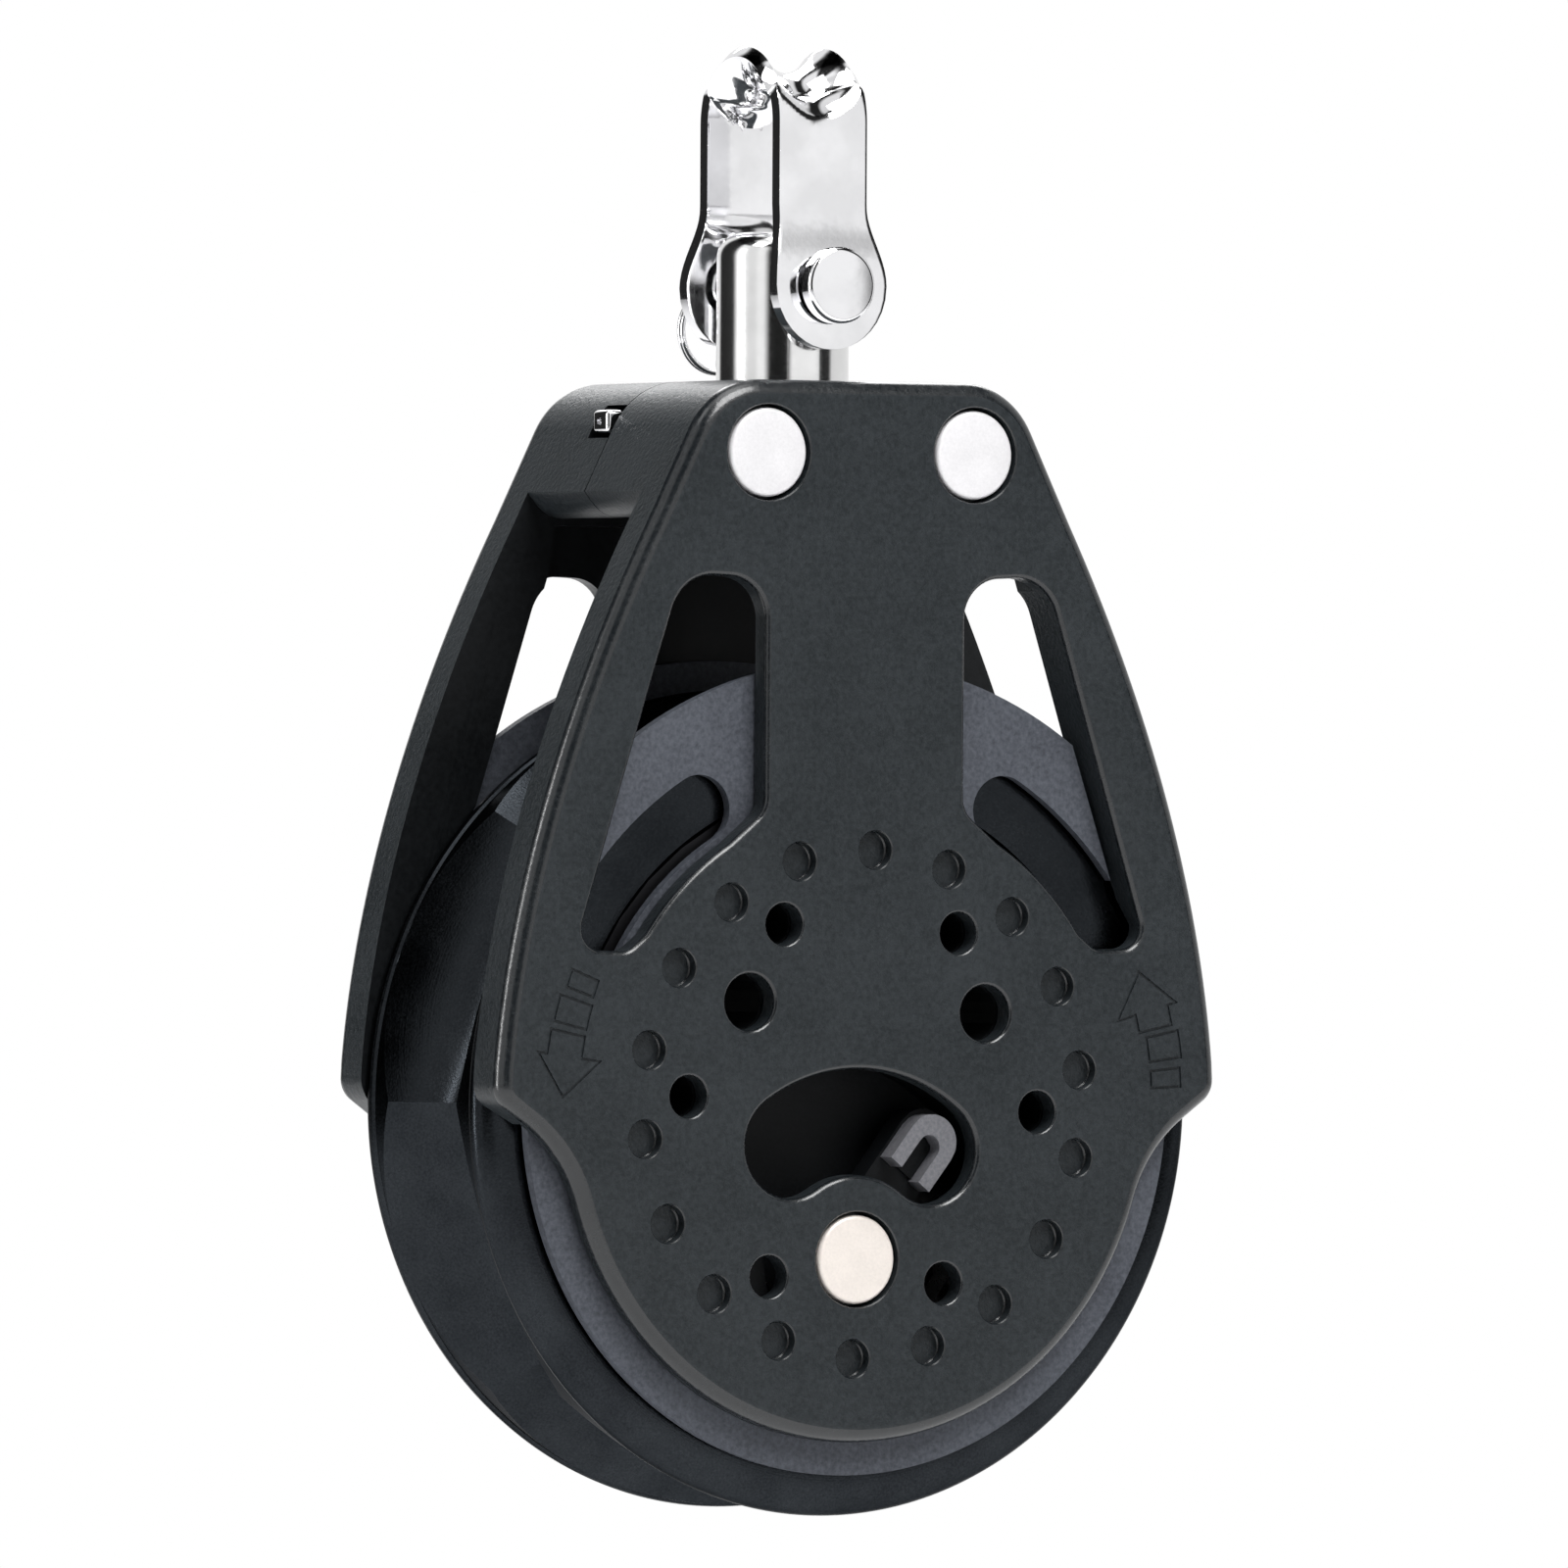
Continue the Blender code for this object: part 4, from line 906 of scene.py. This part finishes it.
def make_floor():
    """Plain pale floor below the hanging block."""
    m = Nodes("pale_floor", 0.7, specular=0.2)
    m.shader.inputs["Emission Color"].default_value = (1, 1, 1, 1)
    m.shader.inputs["Emission Strength"].default_value = FLOOR_GLOW
    m.link(m.ramp(m.noise(60, 3.0), ((0.3, (0.88, 0.88, 0.885)), (0.7, (0.91, 0.91, 0.915)))),
           m.shader.inputs["Base Color"])
    edit = bmesh.new()
    bmesh.ops.create_circle(edit, cap_ends=True, segments=96, radius=FLOOR_R * MM)
    mesh = bpy.data.meshes.new("floor")
    edit.to_mesh(mesh)
    edit.free()
    floor = bpy.data.objects.new("studio_floor", mesh)
    floor.location = (0, 0, CENTRE.z - FLOOR_DROP * MM)
    mesh.materials.append(m.material)
    bpy.context.scene.collection.objects.link(floor)


def make_world():
    """White surround. Mirrors also see the dark flags and the camera's side of the studio."""
    world = bpy.data.worlds.new("studio")
    world.use_nodes = True
    bpy.context.scene.world = world
    tree = world.node_tree
    tree.nodes.clear()
    new, link = tree.nodes.new, tree.links.new
    coordinates, parts = new("ShaderNodeTexCoord"), new("ShaderNodeSeparateXYZ")
    link(coordinates.outputs["Generated"], parts.inputs["Vector"])

    def greys(value, stops):
        node = new("ShaderNodeValToRGB")
        band = node.color_ramp
        while len(band.elements) < len(stops):
            band.elements.new(0.5)
        for element, (place, grey) in zip(band.elements, stops):
            element.position = place
            element.color = (grey, grey, grey, 1)
        link(value, node.inputs["Fac"])
        return node.outputs["Color"]

    def mixed(factor, first, second):
        node = new("ShaderNodeMixShader")
        link(factor, node.inputs[0])
        link(first, node.inputs[1])
        link(second, node.inputs[2])
        return node.outputs[0]

    def background(grey):
        node = new("ShaderNodeBackground")
        node.inputs["Color"].default_value = (grey, grey, grey, 1)
        return node

    around = new("ShaderNodeMath")
    around.operation = "ARCTAN2"
    link(parts.outputs["Y"], around.inputs[0])
    link(parts.outputs["X"], around.inputs[1])
    turn = new("ShaderNodeMapRange")
    turn.inputs["From Min"].default_value, turn.inputs["From Max"].default_value = -math.pi, math.pi
    link(around.outputs[0], turn.inputs["Value"])
    by_azimuth = greys(turn.outputs["Result"], [(a / 360 + 0.5, grey) for a, grey in AZIMUTH_GREYS])
    height = new("ShaderNodeMapRange")
    height.inputs["From Min"].default_value, height.inputs["From Max"].default_value = -1, 1
    link(parts.outputs["Z"], height.inputs["Value"])
    by_height = greys(height.outputs["Result"], [((z + 1) / 2, grey) for z, grey in HEIGHT_GREYS])
    both = new("ShaderNodeMix")
    both.data_type, both.blend_type = "RGBA", "MULTIPLY"
    both.inputs["Factor"].default_value = 1
    link(by_azimuth, both.inputs["A"])
    link(by_height, both.inputs["B"])
    mirrored_room = background(1)
    link(both.outputs["Result"], mirrored_room.inputs["Color"])
    ray = new("ShaderNodeLightPath")
    lit = mixed(ray.outputs["Is Diffuse Ray"], mirrored_room.outputs[0], background(ROOM_LIGHT).outputs[0])
    seen = mixed(ray.outputs["Is Camera Ray"], lit, background(1).outputs[0])
    link(seen, new("ShaderNodeOutputWorld").inputs["Surface"])


def add_softbox(name, azimuth, elevation, distance, size, watts):
    """Soft light of a width and height that faces the block, at an azimuth like the camera's."""
    a, e = math.radians(azimuth), math.radians(elevation)
    away = Vector((math.sin(a) * math.cos(e), -math.cos(a) * math.cos(e), math.sin(e)))
    aim = CENTRE + Vector((0, 0, LIGHT_AIM_Z * MM))
    light = bpy.data.lights.new(name, "AREA")
    light.shape = "RECTANGLE"
    light.size, light.size_y = size[0] * MM, size[1] * MM
    light.energy = watts
    lamp = bpy.data.objects.new(name, light)
    lamp.location = aim + away * distance * MM
    lamp.rotation_euler = away.to_track_quat("Z", "Y").to_euler()
    bpy.context.scene.collection.objects.link(lamp)


def make_camera():
    a, e = math.radians(VIEW_AZIMUTH), math.radians(VIEW_ELEVATION)
    away = Vector((math.sin(a) * math.cos(e), -math.cos(a) * math.cos(e), math.sin(e)))
    camera = bpy.data.cameras.new("camera")
    camera.lens = VIEW_LENS
    camera.sensor_width = VIEW_SENSOR
    camera.clip_start, camera.clip_end = 0.01, 20
    holder = bpy.data.objects.new("camera", camera)
    turn = away.to_track_quat("Z", "Y").to_matrix().to_4x4()
    place = CENTRE + Vector(VIEW_AIM) * MM + away * VIEW_DISTANCE * MM
    holder.matrix_world = Matrix.Translation(place) @ turn @ Matrix.Rotation(math.radians(VIEW_ROLL), 4, "Z")
    bpy.context.scene.collection.objects.link(holder)
    bpy.context.scene.camera = holder


make_camera()
make_cheeks()
make_liners()
make_sheave()
make_switch()
make_rivets()
make_headpost()
make_clip()
make_pin()
make_ring()
make_shackle()
finish_nodes()
make_floor()
make_world()
add_softbox("key_light", 5, 55, 600, (350, 350), 4.4)
add_softbox("left_light", -85, 55, 600, (200, 200), 0.3)
add_softbox("edge_strip", -106, 10, 600, (45, 420), 1.15)
add_softbox("back_light", 150, 40, 700, (400, 400), 2.5)
add_softbox("top_light", -20, 85, 600, (300, 300), 0.8)
bpy.context.scene.view_settings.view_transform = "Standard"
